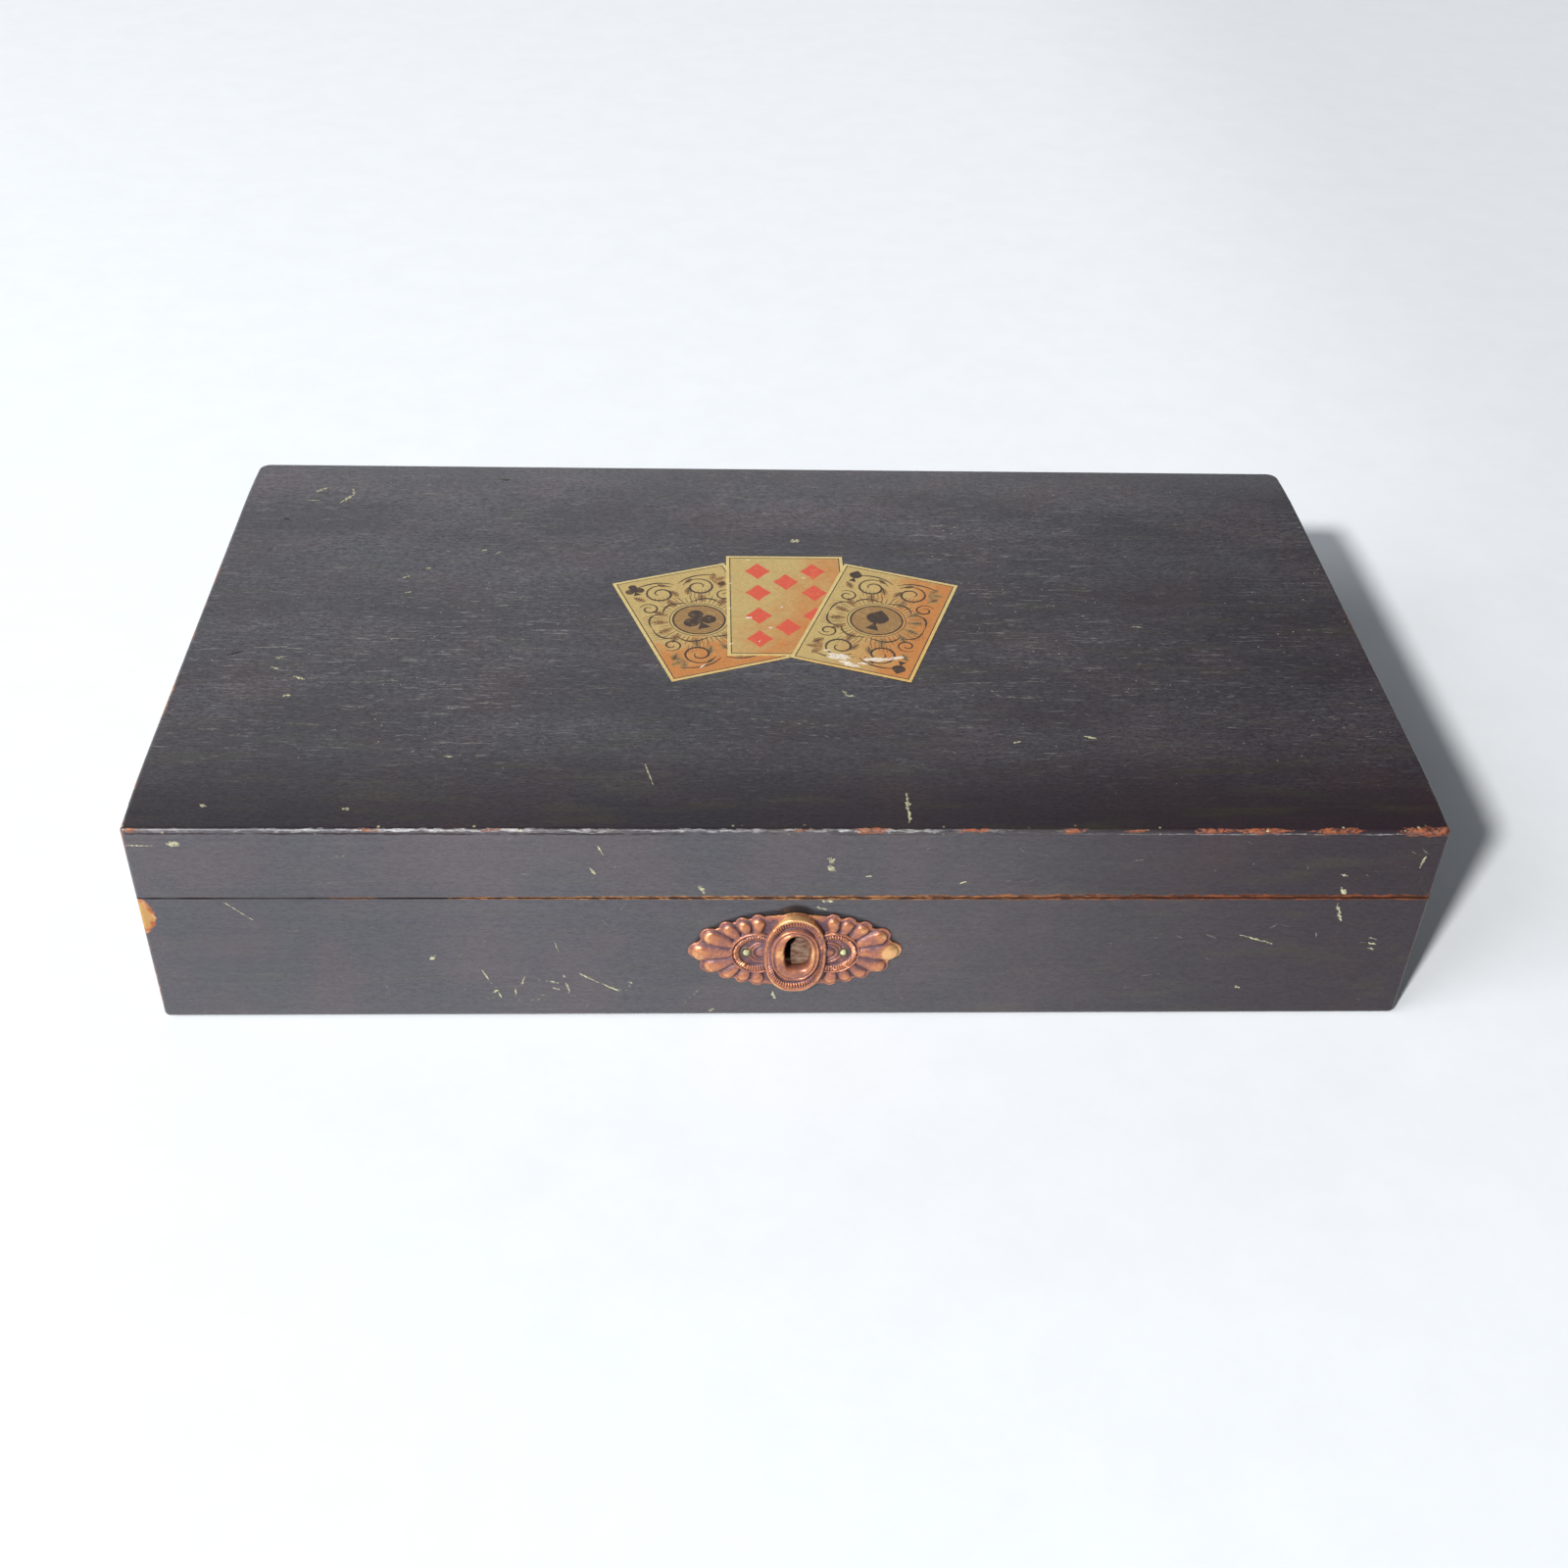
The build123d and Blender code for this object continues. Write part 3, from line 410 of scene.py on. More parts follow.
def worn_colours(s, arris, seam, chip_core, rough):
    """Colour of the bare wood in the worn places, and of the wood along the seam."""
    stained = s.noise((0.3, 1.2, 1.2), roughness=0.7, shift=(6, 2, 8))
    seam_colour = s.mix(s.fade(s.x, -20, 100), SEAM_PALE, SEAM_RED)
    seam_colour = s.mix(s.fade(stained, 0.4, 0.56, high=0.9), seam_colour, SEAM_BROWN)
    colour = s.mix(s.fade(s.noise(0.6), 0.42, 0.7), BARE_ORANGE, BARE_PALE)
    colour = s.mix(s.fade(s.x, -40, 70, high=0.75), colour, BARE_ORANGE)
    colour = s.mix(seam, colour, seam_colour)
    colour = s.mix(arris * s.fade(rough, 0.44, 0.58, high=0.75), colour, BARE_BROWN)
    colour = s.mix(arris * s.fade(stained, 0.42, 0.56, 0.8, 0.0), colour, BARE_PINK)
    return s.mix(chip_core, colour, BARE_OCHRE), seam_colour


def escutcheon_shade_and_polish(s):
    """One in the painted shade and dark polish along the upper edge of the escutcheon."""
    aside = s.x - plate_x
    rise = s.z - plate_z
    ovals = [s.fade(oval_distance(aside, rise, half), 1.0, 0.8) for half in SHADE_AND_POLISH_OVALS]
    return s.largest(*ovals) * s.fade(rise, -1.0, 3.0) * on_front_face(s)


def keyhole_walls(s):
    """One in the bare grey wood round the keyhole."""
    across = s.near(s.x, plate_x, 5.0, 0.2)
    return across * s.near(s.z, plate_z, 7.0, 0.2) * s.fade(s.y, front_y + 6, front_y + 4)


def seam_rims(s):
    """One on the level rims of lid and base that meet at the seam."""
    facing = abs(s.split(s.normal)[2])
    return s.fade(facing, 0.7, 0.9) * s.near(s.z, seam_z, 0.4, 0.1)


def unpainted_inside(s):
    """One inside the box, where the wood has no finish."""
    return (
        s.fade(abs(s.x), inner_x + 0.25, inner_x + 0.15)
        * s.fade(abs(s.y), inner_y + 0.25, inner_y + 0.15)
        * s.fade(s.z, floor_top - 0.2, floor_top - 0.1)
        * s.fade(s.z, lid_edge_top - 1.0, lid_edge_top - 1.1)
    )


def ebonised_wood(name, across_grain):
    """Black-stained wood with a rubbed satin finish, worn to bare wood along its edges."""
    s = Shader(name)
    x = s.x

    def grain(along, across):
        """Cycles a millimetre along and across the grain."""
        return (across, along, across) if across_grain else (along, across, across)

    broad = s.noise(0.011)
    streaks = s.noise(grain(0.02, 0.9), roughness=0.6)
    fibres = s.noise(grain(0.14, 3.2), detail=3, roughness=0.65)
    rough = s.noise((0.4, 1.4, 1.4), roughness=0.65, shift=(1, 8, 3))
    lengths = s.noise((0.06, 0.02, 0.02), roughness=0.65, shift=(2, 2, 6))
    jitter = s.fade(rough, 0.2, 0.8, -0.7, 0.7)

    colour, haze_and_sheen, speckle = rubbed_finish(s, grain, broad, fibres)
    colour = s.shade(colour, s.fade(streaks, 0.25, 0.75, 0.9, 1.1))
    arris, rubbed_highlight_line, flecks, joint = arris_wear(s, jitter, lengths)
    seam, brown_rim = seam_wear(s, jitter, lengths)
    corners, chip_core = corner_wear(s, jitter, lengths, rough)
    bare = s.largest(arris, seam, corners)
    bare_colour, seam_colour = worn_colours(s, arris, seam, chip_core, rough)
    colour = s.mix(joint * 0.8, colour, JOINT_DARK)
    colour = s.mix(bare, colour, bare_colour)
    # Painted highlight on the arris, with rubbed wear
    colour = s.mix(rubbed_highlight_line, colour, RUBBED_WHITE_HIGHLIGHT)
    colour = s.mix(flecks, colour, FLECK)
    # Painted shade, together with dark polish, darkens the wood along the escutcheon's upper edge
    grime = escutcheon_shade_and_polish(s)
    colour = s.shade(colour, s.fade(grime, 0.0, 1.0, 1.0, 0.3))

    keyhole = keyhole_walls(s)
    colour = s.mix(keyhole, colour, s.mix(s.fade(rough, 0.3, 0.7), BARE_GREY, BARE_BROWN))
    rim = seam_rims(s)
    worn_rim = brown_rim * s.fade(rough, 0.4, 0.56, 0.15, 1.0) * s.fade(x, 30, 130, 1.0, 0.3)
    rim_dark = s.mix(s.fade(x, -70, -115) * s.fade(lengths, 0.38, 0.5), RIM_DARK, RIM_GREY)
    colour = s.mix(rim, colour, s.mix(worn_rim, rim_dark, seam_colour))
    inside = unpainted_inside(s)
    colour = s.mix(inside, colour, s.mix(s.fade(streaks, 0.3, 0.7), INNER_DARK, INNER_LIGHT))

    raw = s.largest(bare, rim, inside, keyhole)
    sheen = s.fade(broad, 0.3, 0.7, 0.27, 0.34) + haze_and_sheen * 0.12 + raw * 0.3
    lid_right = on_front_face(s) * s.fade(s.z, base_top, lid_bottom) * s.fade(x, 20, 110)
    gloss = (
        s.fade(x, 10, 140, 0.81, 0.4)
        * s.fade(s.largest(raw, grime, joint), 0.0, 1.0, 1.0, 0.4)
        * s.fade(lid_right, 0.0, 1.0, 1.0, 0.72)
        * s.fade(speckle, 0.3, 0.7, 0.66, 1.34)
    )
    relief = fibres * 0.6 + streaks * 0.5 - bare * 0.8
    normal = s.bump(relief, 0.025)
    return s.finish(Base_Color=colour, Roughness=sheen, Specular_IOR_Level=gloss, Normal=normal)


def divider_wood(name, along_x):
    """Thin stained wood of the dividers, with a straight grain."""
    s = Shader(name)
    along = (0.02, 0.8, 0.8) if along_x else (0.8, 0.02, 0.8)
    streaks = s.noise(along, detail=5, roughness=0.65)
    fibres = s.noise(tuple(4 * cycles for cycles in along), detail=2)
    colour = s.mix(s.fade(streaks, 0.3, 0.7), INNER_DARK, INNER_LIGHT)
    colour = s.shade(colour, s.fade(fibres, 0.3, 0.7, 0.8, 1.15))
    return s.finish(
        Base_Color=colour,
        Roughness=s.fade(streaks, 0.3, 0.7, 0.5, 0.68),
        Normal=s.bump(streaks + fibres, 0.04),
    )


def aged_metal(name, bright, dull, roughness, grime):
    """Old metal with a dull film, darker spots and fine rubbing."""
    s = Shader(name)
    film = s.noise(0.18, detail=5, roughness=0.65)
    rubbing = s.noise((0.3, 6.0, 6.0), detail=2)
    colour = s.mix(s.fade(film, 0.35, 0.65), dull, bright)
    colour = s.mix(s.fade(s.noise(0.6, shift=(5, 1, 2)), 0.6, 0.75, high=0.8), colour, grime)
    return s.finish(
        Base_Color=colour,
        Metallic=1.0,
        Roughness=s.fade(film, 0.3, 0.7, roughness + 0.14, roughness),
        Normal=s.bump(film + rubbing * 0.4, 0.02),
    )


def escutcheon_copper():
    """Stamped copper: bright where it is rubbed and where a highlight is painted on the boss's upper rim,
    purple-brown in the recesses, green round the pins.
    """
    s = Shader("escutcheon_copper")
    relief = Value(s, s.node("ShaderNodeAttribute", attribute_name="relief").outputs["Fac"])
    stains = s.noise(0.4, roughness=0.6)
    spots = s.noise(1.5, detail=3, shift=(3, 1, 7))
    level = relief + s.fade(stains, 0.25, 0.75, -0.2, 0.2) + s.fade(spots, 0.25, 0.75, -0.14, 0.14)
    colour = s.mix(s.fade(level, 0.15, 0.5), rgb(100, 74, 80), rgb(152, 100, 86))
    colour = s.mix(s.fade(level, 0.5, 0.8), colour, rgb(194, 128, 92))
    colour = s.mix(s.fade(level, 0.85, 1.2), colour, rgb(230, 178, 122))
    side = abs(s.x - plate_x) - PIN_OFFSET
    rise = s.z - plate_z
    from_pin = s.math("SQRT", side * side + rise * rise)
    colour = s.mix(s.fade(from_pin, 2.0, 1.0, high=0.7), colour, rgb(70, 72, 54))
    return s.finish(
        Base_Color=colour,
        Metallic=s.fade(level, 0.2, 0.9, 0.35, 0.7),
        Roughness=s.fade(level, 0.2, 0.9, 0.55, 0.36),
        Normal=s.bump(spots + stains, 0.06),
    )


def verdigris():
    """Pin heads gone green."""
    s = Shader("verdigris")
    crust = s.noise(1.6)
    colour = s.mix(s.fade(crust, 0.35, 0.65), rgb(110, 108, 76), rgb(188, 188, 148))
    return s.finish(Base_Color=colour, Roughness=0.75, Normal=s.bump(crust, 0.08))


def paper(name, base, warm, lean, warm_from, warm_to):
    """Varnished old paper that turns orange along a slanting line."""
    s = Shader(name)
    stains = s.noise(0.12, detail=5, roughness=0.6)
    fibres = s.noise(1.5, detail=3)
    slope = s.x * lean[0] + s.y * lean[1] + s.fade(stains, 0.2, 0.8, -9.0, 9.0)
    colour = s.mix(s.fade(slope, warm_from, warm_to), base, warm)
    colour = s.shade(colour, s.fade(fibres, 0.25, 0.75, 0.88, 1.08))
    colour = s.mix(s.specks(1.7, 0.12, 0.12) * 0.5, colour, rgb(96, 74, 46))
    return s.finish(Base_Color=colour, Roughness=0.5, Normal=s.bump(fibres, 0.015))


def ink(name, colour, thin):
    """Printing ink on the paper, thin in places."""
    s = Shader(name)
    wear = s.noise(0.9, detail=5, roughness=0.7)
    colour = s.mix(s.fade(wear, 0.48, 0.74), colour, thin)
    return s.finish(Base_Color=colour, Roughness=0.48)


def bare_fibres(name, pale, dark):
    """Bare fibres in a scratch or a flake."""
    s = Shader(name)
    fibres = s.noise(1.2, roughness=0.7)
    colour = s.mix(s.fade(fibres, 0.35, 0.7), dark, pale)
    return s.finish(Base_Color=colour, Roughness=0.7)


def studio_floor():
    """Pale paper that the box stands on, with painted shade that darkens it towards the right."""
    s = Shader("studio_floor")
    mottle = s.noise(0.05, detail=6, roughness=0.7)
    colour = s.mix(s.fade(mottle, 0.3, 0.7), rgb(229, 233, 238), rgb(232, 236, 241))
    # Painted shade: the floor darkens towards the right, as the light falls off
    return s.finish(Base_Color=s.shade(colour, s.fade(s.x, 130, 320, 1.0, 0.88)), Roughness=0.9)


# Materials of the CAD nodes
long_grain = ebonised_wood("ebonised_wood", across_grain=False)
end_grain = ebonised_wood("ebonised_wood_ends", across_grain=True)
brass = aged_metal("aged_brass", rgb(206, 168, 92), rgb(142, 108, 58), 0.32, rgb(70, 56, 34))
steel = aged_metal("aged_steel", rgb(150, 150, 150), rgb(92, 88, 84), 0.36, rgb(70, 48, 34))
node_materials = {
    "_end": end_grain,
    "left_rail": end_grain,
    "right_rail": end_grain,
    "_board": long_grain,
    "_rail": long_grain,
    "divider_long": divider_wood("divider_wood_long", along_x=True),
    "divider_": divider_wood("divider_wood_cross", along_x=False),
    "lock_bolt": steel,
    "lock_spring": steel,
    "lock_key_pin": steel,
    "_screws": steel,
    "hinge_": brass,
    "lock_": brass,
}
for node_name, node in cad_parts.items():
    chosen = [material for part, material in node_materials.items() if part in node_name]
    if chosen:
        node.data.materials.clear()
        node.data.materials.append(chosen[0])


def new_piece(name, mesh, materials, body, smooth=False):
    """Links a mesh as a piece that rides on a body."""
    for material in materials:
        mesh.materials.append(material)
    piece = bpy.data.objects.new(name, mesh)
    bpy.context.scene.collection.objects.link(piece)
    if smooth:
        mesh.shade_smooth()
    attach(piece, body)
    return piece


# Escutcheon, in millimetres from its own middle: across, up and out from the wood
PLATE_HALF = (22.75, 10.9)
BOSS_HALF = (7.4, 11.5)
RING_HALF = (5.5, 7.7)
OPENING_MIDDLE = (0.5, 0.6)
OPENING_ARCH = (3.05, 5.4)
OPENING_FOOT = (2.9, 4.9)
MEDALLION_OFFSET = 8.8
MEDALLION_RADIUS = 6.2
MEDALLION_FLOOR = 0.72
BLOCK_OFFSET = 7.6
PIN_OFFSET = 11.1
LOBE_RING = (22.0, 10.1)
LOBE_STEPS = range(-4, 5)
LOBE_TURN = math.radians(23)
LOBE_INSET = 0.6
VALLEY_HEIGHT = 1.35
RUBBED_TIP = (22.2, -0.6)
BOSS_TICKS = 80
MEDALLION_TICKS = 50
PLATE_RAYS = 640
PLATE_RINGS = 116
FLANGE = 0.45
EDGE_HEIGHT = 0.2
WEAR_BLUR = 60


def smooth_step(value, start, end):
    """Goes smoothly from 0, where the value is start, to 1, where it is end."""
    share = np.clip((value - start) / (end - start), 0, 1)
    return share * share * (3 - 2 * share)


def bead(distance, half_width):
    """A rounded ridge: 1 on its middle line and 0 at half its width."""
    return np.sqrt(np.clip(1 - (distance / half_width) ** 2, 0, 1))


def ticks(count):
    """Ridges of a milled band; the count grows by one a ridge."""
    return np.abs(np.cos(np.pi * count)) ** 0.7


def blend_up(first, second, soft=0.12):
    """The higher of two surfaces, with a soft crease where they meet."""
    gap = np.clip(0.5 + (second - first) / (2 * soft), 0, 1)
    return first + (second - first) * gap + soft * gap * (1 - gap)


def oval_reach(turn, half, power=2.0):
    """How far an oval reaches from its middle in this direction; a higher power squares it."""
    sides = np.abs(np.cos(turn) / half[0]) ** power + np.abs(np.sin(turn) / half[1]) ** power
    return sides ** (-1 / power)


def gadroons():
    """Middle, direction, end radius and length of each gadroon round the two medallions."""
    for side in (-1, 1):
        for step in LOBE_STEPS:
            turn = step * LOBE_TURN
            along = math.cos(turn) / LOBE_RING[0]
            across = math.sin(turn) / LOBE_RING[1]
            start = MEDALLION_OFFSET / LOBE_RING[0]
            square = along**2 + across**2
            reach = (-start * along + math.sqrt((start * along) ** 2 + square * (1 - start**2))) / square
            radius = 1.65 + 0.85 * abs(math.cos(turn)) ** 6
            direction = (side * math.cos(turn), math.sin(turn))
            yield side * MEDALLION_OFFSET, direction, radius, reach


def boss_reach(turn):
    """How far the boss reaches: round above and a little squared below."""
    return oval_reach(turn, BOSS_HALF, np.where(np.sin(turn) > 0, 2.1, 2.35))


def plate_outline(turn):
    """How far the escutcheon's scalloped edge lies from its middle in this direction."""
    reach = np.maximum(oval_reach(turn, PLATE_HALF), boss_reach(turn))
    for middle, (dx, dy), radius, length in gadroons():
        px = middle + dx * length
        py = dy * length
        beside = px * np.sin(turn) - py * np.cos(turn)
        ahead = px * np.cos(turn) + py * np.sin(turn)
        hit = (np.abs(beside) < radius) & (ahead > 0)
        far = ahead + np.sqrt(np.clip(radius**2 - beside**2, 0, None))
        reach = np.where(hit, np.maximum(reach, far), reach)
    return reach


def opening_outline(turn):
    """How far the opening's edge lies from its middle: an arch above, a flatter foot below."""
    above = np.sin(turn) > 0
    half = [np.where(above, arch, foot) for arch, foot in zip(OPENING_ARCH, OPENING_FOOT)]
    return oval_reach(turn, half, np.where(above, 2.3, 3.4))


def gadroon_height(u, w):
    """Height of the fans of drops on both sides; each drop is broad almost to its root."""
    height = np.zeros_like(u)
    root = MEDALLION_RADIUS - 0.1
    for middle, (dx, dy), radius, length in gadroons():
        along = (u - middle) * dx + w * dy
        across = -(u - middle) * dy + w * dx
        length = length - LOBE_INSET - 0.35 * abs(dy)
        share = np.clip((along - root) / (length - root), 0, 1)
        width = (radius - 0.05) * (0.55 + 0.45 * np.sin(np.pi / 2 * share**0.75))
        past = np.clip(along - length, 0, None) + np.clip(root + 0.3 - along, 0, None)
        inside = np.clip(1 - (across**2 + past**2) / width**2, 0, 1)
        swell = (0.9 + 0.12 * share) * (0.4 + 0.58 * radius)
        height = np.maximum(height, swell * inside**0.36)
    return height


def medallion_height(u, w, side):
    """Height of a medallion: a bead, a milled band, a sunk floor and a nested block beside the boss."""
    across = u - side * MEDALLION_OFFSET
    distance = np.hypot(across, w)
    count = np.arctan2(w, across) * MEDALLION_TICKS / (2 * np.pi)
    height = MEDALLION_FLOOR + 0.75 * bead(distance - (MEDALLION_RADIUS - 0.38), 0.38)
    milled = 0.95 + 0.25 * smooth_step(distance, 4.1, 5.2) + 0.46 * ticks(count)
    height = np.where((distance > 4.1) & (distance < 5.25), np.maximum(height, milled), height)
    block = np.hypot(u - side * BLOCK_OFFSET, w)
    cup = np.hypot(u - side * PIN_OFFSET, w)
    ridges = [
        (block - 2.9, 0.3, 0.42),
        (block - 2.1, 0.3, 0.38),
        (block, 1.45, 0.55),
        (cup - 1.3, 0.3, 0.2),
    ]
    for away, half_width, rise in ridges:
        height = np.maximum(height, MEDALLION_FLOOR + rise * bead(away, half_width))
    return np.where(distance < MEDALLION_RADIUS, height, 0)


def boss_height(u, w, from_opening):
    """Height of the oval boss: a rolled rim, a milled slope, a valley and a ring round the opening."""
    turn = np.arctan2(w, u)
    centre = np.hypot(u, w)
    inward = boss_reach(turn) - centre
    beside = np.cos(turn) ** 2
    wall_up = 0.5 + (1.5 - 0.55 * beside) * smooth_step(inward, 0.0, 0.4)
    rim = np.where(inward < 1.25, wall_up + 0.34 * bead(inward - 0.75, 0.5), 0)
    step = np.arctan2(w / BOSS_HALF[1], u / BOSS_HALF[0])
    count = (step + 0.12 * np.sin(2 * step)) * BOSS_TICKS / (2 * np.pi)
    milled = 1.62 - 0.4 * beside + 0.18 * smooth_step(inward, 2.4, 1.2) + 0.55 * ticks(count)
    milled = np.where((inward > 1.2) & (inward < 2.35), milled, 0)
    valley = np.where(inward > 0.9, VALLEY_HEIGHT, 0)
    to_ring = oval_reach(turn, RING_HALF, 2.2) - centre
    ring = VALLEY_HEIGHT + 1.05 * smooth_step(to_ring, -0.35, 0.25) - 0.22 * bead(to_ring - 0.7, 0.25)
    ring = ring + 0.3 * smooth_step(to_ring, 0.8, 1.4) - 0.75 * np.exp(-from_opening / 0.3)
    ring = np.where(to_ring > -0.4, ring, 0)
    height = np.maximum(np.maximum(rim, milled), np.maximum(valley, ring))
    return np.where(inward > 0, height, 0)


def dents(u, w):
    """Small unevenness of the old stamping."""
    waves = np.sin(1.3 * u + 0.7 * w) * np.sin(1.1 * w - 0.4 * u + 1.0)
    return 0.05 * waves + 0.03 * np.sin(3.1 * u + 1.7) * np.sin(2.7 * w + 0.4)


def wear_level(u, w, height, edge):
    """How bright the copper is rubbed: by how far each point stands above its surroundings, with a
    painted highlight on the boss's upper rim.
    """
    level = height.copy()
    for _ in range(WEAR_BLUR):
        level = (level + np.roll(level, 1, 1) + np.roll(level, -1, 1)) / 3
        level[1:-1] = (level[:-2] + level[1:-1] + level[2:]) / 3
    tip = smooth_step(np.hypot(u - RUBBED_TIP[0], (w - RUBBED_TIP[1]) * 0.8), 3.0, 1.8)
    # Painted highlight on the upper rim of the boss, where the light falls
    painted_crescent_highlight = smooth_step(w, 6.0, 10.0) * smooth_step(np.abs(u), 6.5, 4.0) * smooth_step(edge, 1.5, 0.9)
    lobes = smooth_step(np.hypot(u / LOBE_RING[0], w / LOBE_RING[1]), 0.82, 0.98)
    ring = smooth_step(np.hypot(u / RING_HALF[0], w / RING_HALF[1]), 1.05, 0.85)
    return 0.4 + (height - level) * 1.2 + 0.65 * tip + 0.5 * painted_crescent_highlight + 0.14 * lobes + 0.14 * ring


def stamped_plate():
    """The escutcheon as one closed mesh, swept from the opening's edge out to the scalloped edge."""
    turn = np.linspace(0, 2 * np.pi, PLATE_RAYS, endpoint=False)
    inner = opening_outline(turn)
    outer = plate_outline(turn)
    share = np.linspace(0, 1, PLATE_RINGS)[:, None]
    u = (OPENING_MIDDLE[0] + inner * np.cos(turn)) * (1 - share) + outer * np.cos(turn) * share
    w = (OPENING_MIDDLE[1] + inner * np.sin(turn)) * (1 - share) + outer * np.sin(turn) * share
    from_opening = np.hypot(u - u[0], w - w[0])
    edge = np.hypot(u - u[-1], w - w[-1])
    height = blend_up(np.full_like(u, FLANGE), gadroon_height(u, w), 0.1)
    for side in (-1, 1):
        height = blend_up(height, medallion_height(u, w, side), 0.06)
    boss = boss_height(u, w, from_opening)
    height = np.where(boss > 0, blend_up(height, boss, 0.04), height) + dents(u, w)
    height = EDGE_HEIGHT + (height - EDGE_HEIGHT) * smooth_step(edge, -0.2, 0.35)
    relief = wear_level(u, w, height, edge)

    def corners(at_u, at_w, out):
        """Places in the scene of points on the plate."""
        x = (plate_x + at_u) * MM
        y = (plate_high.y - out) * MM
        z = (plate_z + at_w) * MM
        return np.stack([x, y, z], axis=-1).reshape(-1, 3)

    flat = np.zeros(PLATE_RAYS)
    points = np.concatenate(
        [corners(u[0], w[0], flat), corners(u, w, height), corners(u[-1], w[-1], flat)]
    )
    rings = PLATE_RINGS + 2
    faces = []
    for ring in range(rings):
        low = ring * PLATE_RAYS
        high = (ring + 1) % rings * PLATE_RAYS
        for ray in range(PLATE_RAYS):
            beside = (ray + 1) % PLATE_RAYS
            faces.append((low + ray, low + beside, high + beside, high + ray))
    mesh = bpy.data.meshes.new("escutcheon_stamped")
    mesh.from_pydata(points.tolist(), [], faces)
    wear = mesh.attributes.new("relief", "FLOAT", "POINT")
    wear.data.foreach_set("value", np.concatenate([relief[0], relief.ravel(), relief[-1]]))
    return mesh


def closed_mesh(name, work):
    """Turns a closed bmesh's faces outwards and gives its mesh."""
    bmesh.ops.recalc_face_normals(work, faces=work.faces)
    mesh = bpy.data.meshes.new(name)
    work.to_mesh(mesh)
    work.free()
    return mesh


# Radius of a pin, and how far it stands out from the box, from its foot to the top of its dome
PIN_DOME = [
    (0, -2.0),
    (0.5, -2.0),
    (0.5, 0.7),
    (0.8, 0.75),
    (0.85, 0.95),
    (0.68, 1.25),
    (0.36, 1.42),
    (0, 1.47),
]
PIN_SIDES = 24
WELD = 0.001


def pin_heads():
    """The two pins with domed heads, turned about their axes."""
    work = bmesh.new()
    for side in (-1, 1):
        middle = Vector((plate_x + side * PIN_OFFSET, front_y, plate_z))
        profile = [work.verts.new((middle + Vector((radius, -out, 0))) * MM) for radius, out in PIN_DOME]
        profile += [work.edges.new(pair) for pair in zip(profile, profile[1:])]
        bmesh.ops.spin(
            work, geom=profile, cent=middle * MM, axis=(0, 1, 0), steps=PIN_SIDES, angle=2 * math.pi
        )
    bmesh.ops.remove_doubles(work, verts=list(work.verts), dist=WELD * MM)
    return closed_mesh("pins", work)


plate = new_piece(
    "escutcheon_stamped", stamped_plate(), [escutcheon_copper()], "base", smooth=True
)
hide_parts("escutcheon")
pins = new_piece(
    "escutcheon_pin_heads", pin_heads(), [verdigris()], "base", smooth=True
)
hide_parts("escutcheon_pins")


# Flat shapes: points in millimetres on a plane, and faces that join them
def moved(shape, x, y, turn=0.0, size=1.0):
    """A shape turned, scaled and moved."""
    points, faces = shape
    c = math.cos(turn) * size
    s = math.sin(turn) * size
    return [(x + c * px - s * py, y + s * px + c * py) for px, py in points], faces


def mirrored(shape):
    """A shape mirrored left to right."""
    points, faces = shape
    return [(-px, py) for px, py in points], [face[::-1] for face in faces]


def outline(points):
    """A shape of one face."""
    return points, [list(range(len(points)))]


def polar(reach, turn, x=0.0, y=0.0):
    """A point at a distance and in a direction from a middle."""
    return x + reach * math.cos(turn), y + reach * math.sin(turn)


def ribbon(pairs, closed=False):
    """A strip of faces between two edges, given as pairs of points."""
    points = [point for pair in pairs for point in pair]
    count = len(points)
    starts = range(0, count if closed else count - 2, 2)
    return points, [[n, (n + 2) % count, (n + 3) % count, n + 1] for n in starts]


def pointed(tip, pairs, *end):
    """A ribbon that starts in a point, and may end in one."""
    points, faces = ribbon(pairs)
    count = len(points)
    faces = [[0, 1, 2]] + [[n + 1 for n in face] for face in faces]
    if end:
        faces.append([count - 1, count + 1, count])
    return [tip, *points, *end], faces


def disc(x, y, radius, corners=20):
    """A round spot."""
    return outline([polar(radius, 2 * math.pi * n / corners, x, y) for n in range(corners)])


def stroke(path, width, tip=0.35):
    """A pen stroke along a path: full width in the middle and narrow at both ends."""
    pairs = []
    last = len(path) - 1
    for number, (px, py) in enumerate(path):
        ax, ay = path[max(0, number - 1)]
        bx, by = path[min(last, number + 1)]
        half = width / 2 * (tip + (1 - tip) * math.sin(math.pi * number / last))
        share = half / math.hypot(bx - ax, by - ay)
        nx = (ay - by) * share
        ny = (bx - ax) * share
        pairs.append([(px - nx, py - ny), (px + nx, py + ny)])
    return ribbon(pairs)


def hoop(x, y, radius, width, corners=40):
    """A thin ring."""
    turns = [2 * math.pi * n / corners for n in range(corners)]
    reaches = (radius + width / 2, radius - width / 2)
    return ribbon([[polar(reach, turn, x, y) for reach in reaches] for turn in turns], closed=True)


def spiral(x, y, radius, start, turns, steps=26):
    """Points of a spiral that closes in on a middle."""
    points = []
    for number in range(steps):
        share = number / (steps - 1)
        reach = radius * ((1 - share) ** 0.8 + 0.2 * share)
        points.append(polar(reach, start + turns * 2 * math.pi * share, x, y))
    return points


def curve(start, bend, end, steps=12):
    """Points of a bow from start to end, pulled towards the bend."""
    points = []
    for number in range(steps + 1):
        t = number / steps
        ways = zip(start, bend, end)
        points.append([(1 - t) ** 2 * a + 2 * t * (1 - t) * b + t * t * c for a, b, c in ways])
    return points


